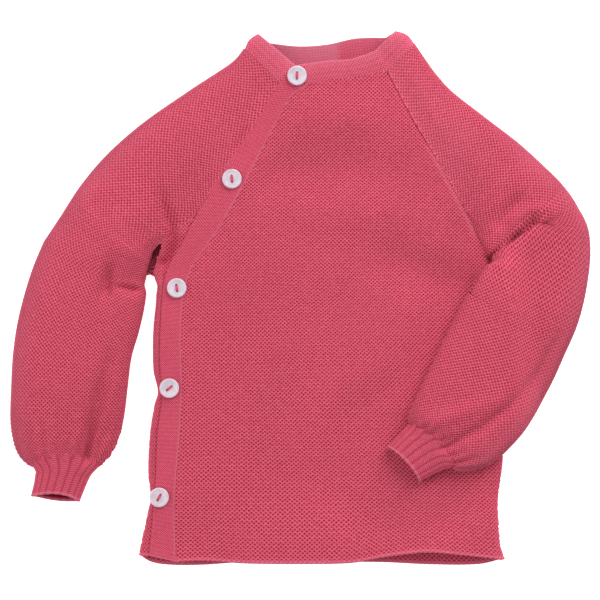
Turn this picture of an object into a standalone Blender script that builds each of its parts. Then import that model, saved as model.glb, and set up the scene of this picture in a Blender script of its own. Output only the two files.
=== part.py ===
"""Baby's wrap-front knitted jumper, laid flat on a table with its front up.

The right sleeve (on the left, seen from above) hangs straight, the left one is bent at
its elbow and lies over the front. A slanted band with five buttons runs from the neck
along the raglan seam and down the side.

Every panel is a lattice of knitted rows. A row's place along the garment is its level:
-1 cuff edge, 0 hem or cuff seam, 1 armpit, 2 neck seam, 3 free edge of the neckband.
Tables are in millimetres, x to the right, y towards the neck, z up off the table.
"""
import bisect
import math
from collections import namedtuple

import bmesh
import bpy
from mathutils import Matrix, Vector

MM = 0.001

# Cloth
WALL = 2.0              # thickness of the knitted cloth
SEAM_GAP = 0.3          # between two pieces at a seam
HALF_SEAM = 0.2         # each piece stops this far before a slanted seam
LAYER_GAP = 0.6         # between the band and the under front below it
LYING_GAP = 0.5         # between the bent sleeve and the front below it
WIDEST_ROUNDING = 0.4   # a side fold takes up no more of a row's width than this
SHARP_ANGLE = 50.0      # degrees between faces from which an edge is sharp
BUTTON_GAP = 0.3        # between a button and the band

# Heights above the table
FRONT_HEIGHT = 13.5     # top of the loose front
UNDER_HEIGHT = FRONT_HEIGHT - WALL - LAYER_GAP
PRESSED_HEIGHT = 10.0   # top of the front under the bent sleeve
PRESS_REACH = 36.0      # half width of the strip that the sleeve presses down
PRESS_FADE = 24.0       # the front rises again over this width
LEFT_FOLD_ROUNDING = 11.0
RIGHT_FOLD_ROUNDING = 7.0
RAGLAN_DIP = 0.8        # how far the right raglan seam lies below the cloth beside it
RAGLAN_RISE = 8.0       # the right raglan rises from the armpit over this length
BACK_RAGLAN_FALL = 7.0  # and the back's raglans fall to the table over this one

# Rows and columns of the solids
SIDE_ROWS = 14
RAGLAN_ROWS = 9
RAGLAN_CROWDING = 1.3   # rows lie closer near the armpit
BAND_ROWS = 2
CUFF_ROWS = 3
SLEEVE_COLUMNS = 24     # half on top, half below
CORNER_COLUMNS = 3      # columns that round a side fold
FRONT_COLUMNS = 12
BACK_COLUMNS = 13
UNDER_COLUMNS = 6
PLACKET_COLUMNS = 5

# Ribs and gathers
RIBS = 18
RIB_COLUMNS = 4                 # columns of the solid to a rib
RIB_HEIGHT = 0.55
GATHERS = 18
GATHER_HEIGHT = 0.6
GATHER_LEVELS = (0.0, 0.16)     # from the cuff seam up to where the gathers have faded
GATHER_BULGE = 0.6              # below 1: they swell quickly above the seam
GATHER_FINENESS = 3             # columns of the solid are this many times as fine
GATHER_FINE_LEVEL = 0.23        # up to this level
TOP_FADE = 0.2                  # ribs and gathers fade over this share of the lower half

# Buttons
BUTTON_RADIUS = 5.7
BUTTON_THICKNESS = 2.0
BUTTON_DISH = 0.35              # depth of the flat middle
BUTTON_RIM = 1.1                # width of the raised rim
BUTTON_EDGE = 0.5               # chamfers of its rim
BUTTON_BACK_INSET = 0.7         # and of its back
BUTTON_BACK_CHAMFER = 0.6
BUTTON_HOLE_RADIUS = 0.75
BUTTON_HOLE_SPACING = 3.2
BUTTON_SIDES = 28
HOLE_SIDES = 10
BUTTON_SEAT_SAG = 0.3           # the band is curved: a button rests on its highest place
BUTTON_SEAT_REACH = 2.0         # its tilt follows the band over this distance either way

Button = namedtuple("Button", "x y thread_angle")
BUTTONS = (
    Button(-1.7, 129.0, 88.0),
    Button(-39.4, 69.3, 96.0),
    Button(-71.3, 6.1, 98.0),
    Button(-75.6, -51.9, 40.0),
    Button(-81.4, -115.1, 62.0),
)

# Outline tables: the x of an edge at each height y
Edge = namedtuple("Edge", "y x")
LEFT_FOLD = (
    Edge(-149.1, -93.6), Edge(-134.3, -90.5), Edge(-123.8, -88.2), Edge(-115.7, -86.6),
    Edge(-102.4, -88.0), Edge(-78.6, -87.0), Edge(-62.0, -84.4), Edge(-54.2, -82.4),
    Edge(-43.0, -84.8), Edge(-27.0, -85.3), Edge(-13.6, -84.7), Edge(-1.0, -83.4),
    Edge(6.0, -83.8), Edge(13.9, -87.3),
)
RIGHT_FOLD = (
    Edge(-151.4, 118.9), Edge(-144.7, 116.6), Edge(-127.3, 115.1), Edge(-116.9, 114.8),
    Edge(-105.3, 116.3), Edge(-90.8, 117.7), Edge(-59.0, 117.0), Edge(-12.5, 114.0),
    Edge(24.1, 109.6),
)
LEFT_RAGLAN = (
    Edge(13.9, -87.3), Edge(21.2, -85.3), Edge(31.6, -80.9), Edge(39.2, -72.5),
    Edge(46.6, -62.0), Edge(58.3, -54.6), Edge(69.9, -47.6), Edge(89.0, -34.9),
    Edge(104.1, -24.8), Edge(116.3, -17.8), Edge(125.6, -12.6),
)
RIGHT_RAGLAN = (
    Edge(24.1, 109.6), Edge(50.2, 96.3), Edge(77.4, 81.2), Edge(104.7, 65.0), Edge(132.0, 50.5),
)
BACK_LEFT_RAGLAN = (Edge(13.9, -87.3), Edge(50.0, -70.0), Edge(100.0, -40.0), Edge(138.3, -18.6))
BACK_RIGHT_RAGLAN = (Edge(24.1, 109.6), Edge(60.0, 93.0), Edge(105.0, 69.0), Edge(140.7, 52.2))
PLACKET_LEFT = (
    Edge(-148.8, -87.8), Edge(-125.6, -85.3), Edge(-105.3, -83.8), Edge(-76.3, -82.6),
    Edge(-56.0, -79.9), Edge(-38.6, -81.4), Edge(-13.6, -81.0), Edge(7.8, -79.3),
    Edge(18.6, -76.0), Edge(31.6, -68.6), Edge(46.3, -61.0), Edge(69.3, -47.0),
    Edge(89.6, -34.0), Edge(104.1, -24.2), Edge(116.3, -17.2), Edge(125.2, -11.9),
    Edge(130.8, -7.0), Edge(135.4, -1.7),
)
PLACKET_RIGHT = (
    Edge(-152.5, -71.9), Edge(-116.9, -72.5), Edge(-76.3, -69.6), Edge(-50.2, -68.4),
    Edge(-21.2, -69.0), Edge(2.0, -67.3), Edge(16.7, -63.1), Edge(27.8, -56.1),
    Edge(40.7, -46.8), Edge(68.2, -31.3), Edge(86.1, -22.0), Edge(105.0, -12.1),
    Edge(116.9, -5.0), Edge(122.7, 3.5),
)
UNDER_RIGHT = (
    Edge(-150.0, -52.0), Edge(-60.0, -48.0), Edge(0.0, -47.0), Edge(30.0, -38.0),
    Edge(68.2, -18.0), Edge(105.0, -4.0), Edge(118.6, -4.6),
)

# Free ends of the neckband, where the rows above each corner of the neck stop
MITRE_TOP = (-1.7, 135.4)
UNDER_BAND_END = (4.1, 128.5)
RIGHT_FRONT_BAND_TOP = (42.9, 143.3)
RIGHT_BACK_BAND_TOP = (49.9, 152.0)
LEFT_FRONT_BAND_TOP = (-3.5, 136.0)
LEFT_BACK_BAND_TOP = (-18.6, 149.0)

# How far a row bows towards the neck, by its place across (0 left, 1 right)
Bow = namedtuple("Bow", "across rise")
BACK_HEM_BOW = (
    Bow(0.0, 0.0), Bow(0.03, -4.0), Bow(0.08, -5.7), Bow(0.17, -5.6), Bow(0.29, -3.7),
    Bow(0.44, -3.3), Bow(0.66, -2.9), Bow(0.8, -3.9), Bow(0.93, -3.4), Bow(1.0, 0.0),
)
FRONT_HEM_BOW = (
    Bow(0.0, 0.0), Bow(0.09, 0.5), Bow(0.21, -1.2), Bow(0.38, -1.7), Bow(0.53, -1.3),
    Bow(0.62, 1.6), Bow(0.7, 3.7), Bow(0.77, 4.6), Bow(0.86, 3.0), Bow(1.0, 0.0),
)
HEM_BOW_LEVELS = 0.2    # the bow of the hem has faded at this level
BACK_NECK_BOW = (Bow(0.0, 0.0), Bow(0.3, -4.0), Bow(0.65, -2.0), Bow(1.0, 0.0))
BACK_BAND_BOW = (
    Bow(0.0, 0.0), Bow(0.26, -2.7), Bow(0.5, -2.4), Bow(0.72, 0.2), Bow(0.85, 0.5), Bow(1.0, 0.0),
)
FRONT_NECK_BOW = (Bow(0.0, 0.0), Bow(0.12, 1.6), Bow(0.35, 0.8), Bow(0.7, -0.6), Bow(1.0, 0.0))
FRONT_BAND_BOW = (Bow(0.0, 0.0), Bow(0.4, -0.8), Bow(0.72, -2.0), Bow(1.0, 0.0))

# Seam heights by the height y: where the front and the back meet at a side fold, and
# where a sleeve meets the front along its raglan
SeamHeight = namedtuple("SeamHeight", "y z")
LEFT_ARMPIT_HEIGHT = 4.5
LEFT_ARMPIT_DIRECTION = (0.30, 0.954)
RIGHT_ARMPIT_DIRECTION = (-0.42, 0.907)
RIGHT_ARMPIT_HEIGHT = 6.6
RIGHT_SIDE_HEIGHTS = (
    SeamHeight(-151.4, 6.0), SeamHeight(-20.0, 6.0), SeamHeight(24.1, RIGHT_ARMPIT_HEIGHT),
)
LEFT_RAGLAN_HEIGHTS = (
    SeamHeight(13.9, 4.5), SeamHeight(19.5, 6.5), SeamHeight(27.0, 8.0),
    SeamHeight(36.0, 9.9), SeamHeight(46.0, UNDER_HEIGHT), SeamHeight(130.0, UNDER_HEIGHT),
)

# Sleeves: each row's inner and outer fold, its heights above what it lies on, and how
# far it rests on the front (1) or beside it on the table (0)
Row = namedtuple("Row", "level inner outer inner_fold outer_fold crown crispness resting",
                 defaults=(1.0,))
RIGHT_SLEEVE = (
    Row(-1.0, (-128.2, -118.0), (-156.3, -114.6), 5.2, 5.2, 10.8, 2.2),
    Row(-0.3, (-122.0, -103.5), (-154.6, -103.0), 5.6, 5.6, 12.0, 2.2),
    Row(0.0, (-118.0, -98.8), (-155.2, -97.8), 6.0, 6.0, 13.0, 2.2),
    Row(0.04, (-110.6, -91.0), (-162.2, -91.0), 7.0, 7.0, 15.5, 2.2),
    Row(0.1, (-105.2, -80.6), (-165.9, -81.0), 8.0, 8.0, 17.5, 2.3),
    Row(0.2, (-102.2, -68.2), (-167.6, -69.0), 8.5, 8.5, 19.0, 2.3),
    Row(0.35, (-100.2, -51.9), (-167.0, -51.9), 8.5, 8.5, 20.0, 2.3),
    Row(0.5, (-98.0, -34.5), (-165.8, -33.5), 8.5, 8.5, 20.0, 2.3),
    Row(0.65, (-93.6, -19.0), (-163.0, -13.6), 8.0, 8.5, 19.5, 2.3),
    Row(0.8, (-90.4, -4.4), (-158.4, 5.5), 7.5, 8.5, 19.0, 2.3),
    Row(0.9, (-89.0, 5.5), (-154.0, 19.4), 6.5, 8.2, 18.5, 2.3),
    Row(1.0, (-87.3, 13.9), (-148.5, 32.8), 4.5, 8.0, 17.5, 2.3),
)
LEFT_SLEEVE = (
    Row(-1.0, (50.8, -85.6), (69.3, -106.2), 4.2, 4.2, 9.0, 2.2),
    Row(-0.3, (58.6, -76.8), (81.0, -100.2), 4.5, 4.5, 9.8, 2.2),
    Row(0.0, (62.4, -72.2), (88.0, -98.2), 4.8, 4.8, 10.5, 2.2),
    Row(0.05, (62.8, -69.0), (94.0, -99.3), 5.2, 5.2, 11.8, 2.2),
    Row(0.12, (63.8, -65.0), (102.0, -98.2), 5.6, 5.6, 13.0, 2.3),
    Row(0.22, (67.3, -57.1), (112.8, -93.0), 6.0, 6.0, 14.0, 2.4),
    Row(0.34, (74.2, -42.6), (127.0, -78.6), 6.0, 6.5, 14.5, 2.5),
    Row(0.405, (78.7, -33.2), (134.5, -68.4), 6.0, 7.0, 14.8, 2.5),
    Row(0.47, (83.5, -23.5), (141.2, -57.3), 6.0, 7.5, 15.0, 2.5),
    Row(0.525, (88.2, -13.8), (147.3, -46.2), 6.0, 7.8, 15.2, 2.5),
    Row(0.58, (93.4, -3.8), (152.5, -34.5), 6.0, 8.0, 15.5, 2.5),
    Row(0.67, (102.7, 12.4), (160.2, -15.6), 5.6, 8.2, 16.0, 2.6),
    Row(0.74, (105.8, 16.6), (164.7, 1.5), 5.0, 8.4, 15.5, 2.8),
    Row(0.80, (107.8, 19.2), (167.4, 18.9), 4.6, 8.5, 15.5, 3.0, 0.97),
    Row(0.85, (110.9, 20.4), (167.8, 31.6), 4.6, 8.5, 16.0, 3.0, 0.70),
    Row(0.885, (111.4, 21.4), (166.6, 40.3), 4.6, 8.5, 16.8, 3.0, 0.40),
    Row(0.91, (111.5, 22.2), (164.2, 46.5), 5.0, 8.5, 17.4, 3.0, 0.20),
    Row(0.93, (111.4, 22.9), (161.3, 51.5), 5.6, 8.4, 17.8, 3.0, 0.08),
    Row(0.95, (111.1, 23.5), (158.8, 56.0), 6.2, 8.3, 17.8, 3.0, 0.0),
    Row(0.97, (110.6, 23.9), (155.9, 60.4), 6.5, 8.2, 17.5, 2.8, 0.0),
    Row(1.0, (109.6, 24.1), (153.1, 64.1), RIGHT_ARMPIT_HEIGHT, 8.0, 17.0, 2.5, 0.0),
)
# The elbow's crease runs out from the armpit along one row
CREASE_LEVEL = 0.95
CREASE_HALF_WIDTH = 0.02        # in levels: the rows on either side are its lips
CREASE_DEPTH = 8.5
CREASE_START = 0.08             # shares of the sleeve's width, from the armpit
CREASE_DEEPEST = 0.3
CREASE_END = 0.62
# Above the armpit a row runs from the raglan over the shoulder's fold to the back raglan
Cap = namedtuple("Cap", "level outer_fold crown crispness")
RIGHT_CAP = (
    Cap(1.0, 8.0, 17.5, 2.3), Cap(1.3, 7.5, 16.5, 2.2), Cap(1.7, 6.6, 15.0, 2.2),
    Cap(2.0, 6.0, 13.2, 2.2), Cap(3.0, 5.6, 12.0, 2.2),
)
LEFT_CAP = (
    Cap(1.0, 8.0, 17.0, 2.5), Cap(1.3, 7.5, 16.4, 2.4), Cap(1.7, 6.6, 15.2, 2.3),
    Cap(2.0, 6.2, 14.2, 2.2), Cap(3.0, 5.8, 13.4, 2.2),
)
RIGHT_SHOULDER = (
    (-148.5, 32.8), (-139.2, 46.7), (-127.0, 65.3), (-111.4, 83.8), (-90.5, 102.4),
    (-63.2, 120.9), (-44.7, 132.5), (-37.1, 138.3), (-32.0, 144.9),
)
LEFT_SHOULDER = (
    (153.1, 64.1), (147.9, 69.9), (128.2, 88.5), (106.7, 104.7), (88.2, 119.8),
    (78.9, 130.2), (72.5, 138.9), (66.1, 148.2),
)
RIGHT_NECK_PEAK = ((-32.0, 144.9), (-29.2, 149.6), (-24.4, 153.9))
LEFT_NECK_PEAK = ((66.1, 148.2), (62.0, 152.4), (55.4, 155.5))

# What the bent sleeve lies on
FOREARM_LINE = ((134.0, 16.5), (123.5, -18.3), (106.1, -51.9), (88.7, -79.2), (59.7, -95.4))
LIFT_OVERHANG = 5.0         # it stays up until this far past the front's edge
LIFT_FADE = 20.0            # and sinks to the table over this width
FLAT_CRISPNESS = 5.0        # underside: flat with rounded folds


# ---------------------------------------------------------------- curves and heights

def smooth_value(knots, values, at):
    """Value of the smooth curve through a table's rows, at one place."""
    last = len(knots) - 1
    at = min(max(at, knots[0]), knots[last])
    k = min(bisect.bisect_right(knots, at) - 1, last - 1)

    def slope(i):
        low = max(i - 1, 0)
        high = min(i + 1, last)
        return (values[high] - values[low]) / (knots[high] - knots[low])

    width = knots[k + 1] - knots[k]
    t = (at - knots[k]) / width
    return (values[k] * (1 + 2 * t) * (1 - t) ** 2
            + slope(k) * width * t * (1 - t) ** 2
            + values[k + 1] * t * t * (3 - 2 * t)
            + slope(k + 1) * width * t * t * (t - 1))


def table_value(table, at):
    """Look a two-column table up between its rows."""
    return smooth_value([row[0] for row in table], [row[1] for row in table], at)


def column(rows, name, level):
    """One column of a sleeve's table at a level, read as a smooth curve."""
    values = [getattr(row, name) for row in rows]
    if isinstance(values[0], tuple):
        values = [Vector(value) for value in values]
    return smooth_value([row.level for row in rows], values, level)


def along(points, share):
    """Point at a share of a smooth line's length."""
    points = [Vector(point) for point in points]
    knots = [0.0]
    for a, b in zip(points, points[1:]):
        knots.append(knots[-1] + (b - a).length)
    return smooth_value(knots, points, share * knots[-1])


def ease(t):
    """Smooth step from 0 to 1."""
    t = min(max(t, 0.0), 1.0)
    return t * t * (3 - 2 * t)


def blend(a, b, share):
    return a + (b - a) * share


def fold_drop(distance, rounding):
    """Quarter circle: 1 at a fold's edge, 0 from its rounding inwards."""
    t = min(max(distance / rounding, 0.0), 1.0)
    return 1 - math.sqrt(1 - (1 - t) ** 2)


def distance_to_line(x, y, points):
    """Distance from a place to a line of points."""
    place = Vector((x, y))
    nearest = math.inf
    for a, b in zip(points, points[1:]):
        a = Vector(a)
        step = Vector(b) - a
        share = min(max((place - a).dot(step) / step.length_squared, 0.0), 1.0)
        nearest = min(nearest, (place - a - step * share).length)
    return nearest


def loose_top(x, y):
    """Top of the front away from its edges: lower where the bent sleeve presses it."""
    away = distance_to_line(x, y, FOREARM_LINE) - PRESS_REACH
    return blend(PRESSED_HEIGHT, FRONT_HEIGHT, ease(away / PRESS_FADE))


def left_edge(y):
    """Left edge of the under front: side fold below the armpit, raglan above it."""
    return table_value(LEFT_FOLD if y < LEFT_FOLD[-1].y else LEFT_RAGLAN, y)


def right_edge(y):
    """Right edge of the front: side fold below the armpit, raglan above it."""
    return table_value(RIGHT_FOLD if y < RIGHT_FOLD[-1].y else RIGHT_RAGLAN, y)


def left_seam_height(y):
    if y < LEFT_FOLD[-1].y:
        return LEFT_ARMPIT_HEIGHT
    return table_value(LEFT_RAGLAN_HEIGHTS, y)


def right_seam_height(y):
    if y < RIGHT_FOLD[-1].y:
        return table_value(RIGHT_SIDE_HEIGHTS, y)
    rise = ease((y - RIGHT_FOLD[-1].y) / RAGLAN_RISE)
    return blend(RIGHT_ARMPIT_HEIGHT, loose_top(right_edge(y), y) - RAGLAN_DIP, rise)


def front_height(x, y):
    """Outer face of the front and its band."""
    top = loose_top(x, y)
    under = top - WALL - LAYER_GAP
    left = (under - left_seam_height(y)) * fold_drop(x - left_edge(y), LEFT_FOLD_ROUNDING)
    right = (top - right_seam_height(y)) * fold_drop(right_edge(y) - x, RIGHT_FOLD_ROUNDING)
    return top - left - right


def under_front_height(x, y):
    """Outer face of the under front: one layer below the band that lies on it."""
    return front_height(x, y) - WALL - LAYER_GAP


def front_floor(x, y):
    """What the bent sleeve lies on: the front, sinking to the table past its edge."""
    edge = table_value(RIGHT_FOLD, min(y, RIGHT_FOLD[-1].y)) + LIFT_OVERHANG
    return (1 - ease((x - edge) / LIFT_FADE)) * (loose_top(x, y) + LYING_GAP)


def table_floor(x, y):
    """What the straight sleeve lies on."""
    return 0.0


# ---------------------------------------------------------------- body panels

class PanelEdge:
    """Edge of a body panel: its outline table, then its end in the neckband."""

    def __init__(self, lower, upper, armpit_y, band_end):
        self.lower = lower
        self.upper = upper
        self.armpit_y = armpit_y
        self.band_end = Vector(band_end)

    def __call__(self, level):
        """Point of the edge at a level."""
        if level <= 1:
            y = blend(self.lower[0].y, self.armpit_y, level)
            return Vector((table_value(self.lower, y), y))
        if level <= 2:
            y = blend(self.armpit_y, self.upper[-1].y, level - 1)
            return Vector((table_value(self.upper, y), y))
        neck = Vector((self.upper[-1].x, self.upper[-1].y))
        return neck.lerp(self.band_end, level - 2)


class BodyPanel:
    """A panel whose rows run between two edges. An edge without a rounding is a flat seam."""

    def __init__(self, left, right, columns, left_rounding=0.0, right_rounding=0.0):
        self.left = left
        self.right = right
        self.columns = columns
        self.left_rounding = left_rounding
        self.right_rounding = right_rounding

    def distance(self, index, width):
        """Distance of a column from the row's left end, closer together at a fold."""
        first = CORNER_COLUMNS if self.left_rounding else 0
        last = self.columns - (CORNER_COLUMNS if self.right_rounding else 0)
        left_round = min(self.left_rounding, WIDEST_ROUNDING * width)
        right_round = min(self.right_rounding, WIDEST_ROUNDING * width)
        if index < first:
            return left_round * (1 - math.cos(math.radians(90 * index / first)))
        if index > last:
            angle = math.radians(90 * (self.columns - index) / (self.columns - last))
            return width - right_round * (1 - math.cos(angle))
        share = (index - first) / (last - first)
        return blend(left_round, width - right_round, share)

    def place(self, index, level, bow):
        """Point of the row in plan, with its share across."""
        left = self.left(level)
        right = self.right(level)
        trim = (right - left).normalized() * HALF_SEAM
        if level >= 1 or not self.left_rounding:
            left = left + trim
        if level >= 1 or not self.right_rounding:
            right = right - trim
        run = right - left
        share = self.distance(index, run.length) / run.length
        point = left + run * share
        return Vector((point.x, point.y + bow(share, level)))


def hem_and_neck_bow(hem, neck, band):
    """Bow of the rows: the hem's fades upwards, the neck's downwards."""
    def bow(share, level):
        rise = 0.0
        if hem:
            rise += table_value(hem, share) * (1 - ease(level / HEM_BOW_LEVELS))
        if level > 1:
            rise += table_value(neck, share) * ease(min(level, 2) - 1)
        if level > 2:
            rise += (table_value(band, share) - table_value(neck, share)) * (level - 2)
        return rise
    return bow


def no_bow(share, level):
    return 0.0


LEFT_ARMPIT_Y = LEFT_FOLD[-1].y
RIGHT_ARMPIT_Y = RIGHT_FOLD[-1].y
PLACKET_LEFT_BEND_Y = 18.6      # where the band's edges turn from the side to the raglan
PLACKET_RIGHT_BEND_Y = 22.0

BAND_INNER_EDGE = PanelEdge(PLACKET_RIGHT, PLACKET_RIGHT, PLACKET_RIGHT_BEND_Y, MITRE_TOP)
BAND_OUTER_EDGE = PanelEdge(PLACKET_LEFT, PLACKET_LEFT, PLACKET_LEFT_BEND_Y, MITRE_TOP)
FRONT = BodyPanel(
    BAND_INNER_EDGE,
    PanelEdge(RIGHT_FOLD, RIGHT_RAGLAN, RIGHT_ARMPIT_Y, RIGHT_FRONT_BAND_TOP),
    FRONT_COLUMNS, right_rounding=RIGHT_FOLD_ROUNDING)
BACK = BodyPanel(
    PanelEdge(LEFT_FOLD, BACK_LEFT_RAGLAN, LEFT_ARMPIT_Y, LEFT_BACK_BAND_TOP),
    PanelEdge(RIGHT_FOLD, BACK_RIGHT_RAGLAN, RIGHT_ARMPIT_Y, RIGHT_BACK_BAND_TOP),
    BACK_COLUMNS, LEFT_FOLD_ROUNDING, RIGHT_FOLD_ROUNDING)
UNDER_FRONT = BodyPanel(
    PanelEdge(LEFT_FOLD, LEFT_RAGLAN, LEFT_ARMPIT_Y, LEFT_FRONT_BAND_TOP),
    PanelEdge(UNDER_RIGHT, UNDER_RIGHT, LEFT_ARMPIT_Y, UNDER_BAND_END),
    UNDER_COLUMNS, left_rounding=LEFT_FOLD_ROUNDING)
PLACKET = BodyPanel(BAND_OUTER_EDGE, BAND_INNER_EDGE, PLACKET_COLUMNS)

FRONT_BOW = hem_and_neck_bow(FRONT_HEM_BOW, FRONT_NECK_BOW, FRONT_BAND_BOW)
BACK_BOW = hem_and_neck_bow(BACK_HEM_BOW, BACK_NECK_BOW, BACK_BAND_BOW)


def back_left_height(y):
    """Height of the back's left edge above the table."""
    return LEFT_ARMPIT_HEIGHT * (1 - ease((y - LEFT_ARMPIT_Y) / BACK_RAGLAN_FALL))


def back_right_height(y):
    """Height of the back's right edge above the table."""
    if y < RIGHT_ARMPIT_Y:
        return right_seam_height(y)
    return RIGHT_ARMPIT_HEIGHT * (1 - ease((y - RIGHT_ARMPIT_Y) / BACK_RAGLAN_FALL))


def side_gap(level):
    """Half the seam's gap, taken in height where the side folds meet."""
    return SEAM_GAP / 2 if level <= 1 else 0.0


def front_point(index, level):
    plan = FRONT.place(index, level, FRONT_BOW)
    z = front_height(plan.x, plan.y)
    if level > 2:
        z = loose_top(plan.x, plan.y) - RAGLAN_DIP * index / FRONT_COLUMNS
    if index == FRONT_COLUMNS:
        z = right_seam_height(min(FRONT.right(level).y, RIGHT_RAGLAN[-1].y)) + side_gap(level)
    return Vector((plan.x, plan.y, z))


def under_front_point(index, level):
    plan = UNDER_FRONT.place(index, level, no_bow)
    z = under_front_height(plan.x, min(plan.y, LEFT_RAGLAN[-1].y))
    if index == 0:
        z = left_seam_height(UNDER_FRONT.left(level).y) + side_gap(level)
    return Vector((plan.x, plan.y, z))


def back_point(index, level):
    """The back's outer face: on the table, rising at the side folds."""
    plan = BACK.place(index, level, BACK_BOW)
    left = BACK.left(level)
    right = BACK.right(level)
    z = (back_left_height(left.y) * fold_drop(plan.x - left.x, LEFT_FOLD_ROUNDING)
         + back_right_height(right.y) * fold_drop(right.x - plan.x, RIGHT_FOLD_ROUNDING))
    if index == 0:
        z = back_left_height(left.y) - side_gap(level)
    if index == BACK_COLUMNS:
        z = back_right_height(right.y) - side_gap(level)
    if level > 2:
        z = 0.0
    return Vector((plan.x, plan.y, max(z, 0.0)))


def placket_point(index, level):
    plan = PLACKET.place(index, level, no_bow)
    return Vector((plan.x, plan.y, front_height(plan.x, min(plan.y, LEFT_RAGLAN[-1].y))))


# ---------------------------------------------------------------- sleeves

def armpit_point(place, z, depth):
    """The seam's corner at an armpit; its inner end goes in along the raglan."""
    direction = LEFT_ARMPIT_DIRECTION if place.x < 0 else RIGHT_ARMPIT_DIRECTION
    inner = Vector(place).xy + Vector(direction) * depth
    return Vector((inner.x, inner.y, z))


class Sleeve:
    """Rows from the cuff to the neckband, each from the front's seam over the outer fold
    to the back's seam, or all round below the armpit."""

    def __init__(self, rows, cap, shoulder, peak, front_edge, back_edge, seam_height,
                 back_height, rests_on, creased):
        self.rows = rows
        self.cap = cap
        self.shoulder = shoulder
        self.peak = peak
        self.front_edge = front_edge
        self.back_edge = back_edge
        self.seam_height = seam_height
        self.back_height = back_height
        self.rests_on = rests_on
        self.creased = creased

    def floor(self, place, level):
        """Height of what a row lies on."""
        if level > 1:
            return 0.0
        return column(self.rows, "resting", level) * self.rests_on(place.x, place.y)

    def crease(self, level, share):
        """Depth of the elbow's crease at a place of the sleeve's top."""
        if not self.creased:
            return 0.0
        across = max(1 - abs(level - CREASE_LEVEL) / CREASE_HALF_WIDTH, 0.0)
        into = ease((share - CREASE_START) / (CREASE_DEEPEST - CREASE_START))
        out = ease((CREASE_END - share) / (CREASE_END - CREASE_DEEPEST))
        return CREASE_DEPTH * across * into * out

    def ends(self, level):
        """Front end, fold and back end of a row in plan, and its heights."""
        if level <= 1:
            inner = column(self.rows, "inner", level)
            outer = column(self.rows, "outer", level)
            lift = column(self.rows, "inner_fold", level)
            return inner, outer, inner.copy(), lift, lift
        front = self.front_edge(level)
        back = self.back_edge(level)
        if level <= 2:
            outer = along(self.shoulder, level - 1)
        else:
            outer = along(self.peak, level - 2)
        back_lift = self.back_height(back.y) if level <= 2 else 0.0
        return front, outer, back, self.seam_height(front.y), back_lift

    def point(self, turn, level, depth=0.0):
        """A face of the wall: the outer one, or the inner one at the wall's depth.

        turn is 0 at the front end, 0.5 at the outer fold and 1 at the back end. The inner
        face is the same section in a smaller space, so it never crosses itself.
        """
        front, outer, back, front_lift, back_lift = self.ends(level)
        table = self.rows if level <= 1 else self.cap
        outer_fold = column(table, "outer_fold", level)
        crown = column(table, "crown", level) - depth
        crisp = column(table, "crispness", level)
        if turn in (0.0, 1.0) and level == 1:
            return armpit_point(front, front_lift, depth)
        inset = depth if level <= 1 else HALF_SEAM
        front_run = (outer - front).normalized()
        back_run = (outer - back).normalized()
        if level > 1:
            front_lift -= depth
            back_lift += depth
        on_top = turn <= 0.5
        end = front + front_run * inset if on_top else back + back_run * inset
        fold = outer - (front_run if on_top else back_run) * depth
        side = -math.cos(2 * math.pi * turn)
        share = (side + 1) / 2
        plan = end.lerp(fold, share)
        base = blend(front_lift if on_top else back_lift, outer_fold, share)
        if on_top:
            swell = max(1 - abs(side) ** crisp, 0.0) ** (1 / crisp)
            lift = base + (crown - base) * swell - self.crease(level, share)
        else:
            swell = max(1 - abs(side) ** FLAT_CRISPNESS, 0.0) ** (1 / FLAT_CRISPNESS)
            lift = base + (depth - base) * swell
        return Vector((plan.x, plan.y, self.floor(plan, level) + lift))


SLEEVE_RIGHT = Sleeve(
    RIGHT_SLEEVE, RIGHT_CAP, RIGHT_SHOULDER, RIGHT_NECK_PEAK,
    UNDER_FRONT.left, BACK.left, left_seam_height, back_left_height, table_floor, creased=False)
SLEEVE_LEFT = Sleeve(
    LEFT_SLEEVE, LEFT_CAP, LEFT_SHOULDER, LEFT_NECK_PEAK,
    FRONT.right, BACK.right, right_seam_height, back_right_height, front_floor, creased=True)


# ---------------------------------------------------------------- making the walls

def raglan_levels():
    return [1 + (k / RAGLAN_ROWS) ** RAGLAN_CROWDING for k in range(1, RAGLAN_ROWS + 1)]


def body_levels():
    return [k / SIDE_ROWS for k in range(SIDE_ROWS + 1)] + raglan_levels()


LAST_FREE_LEVEL = 1.97      # rows above this one belong to the neck seam or the band


def trimmed(levels, start_length=0.0, end_length=0.0):
    """Levels with the first or last row moved in by half a seam's gap."""
    levels = list(levels)
    if start_length:
        levels[0] += SEAM_GAP / 2 / start_length
    if end_length:
        levels[-1] -= SEAM_GAP / 2 / end_length
    return levels


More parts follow.
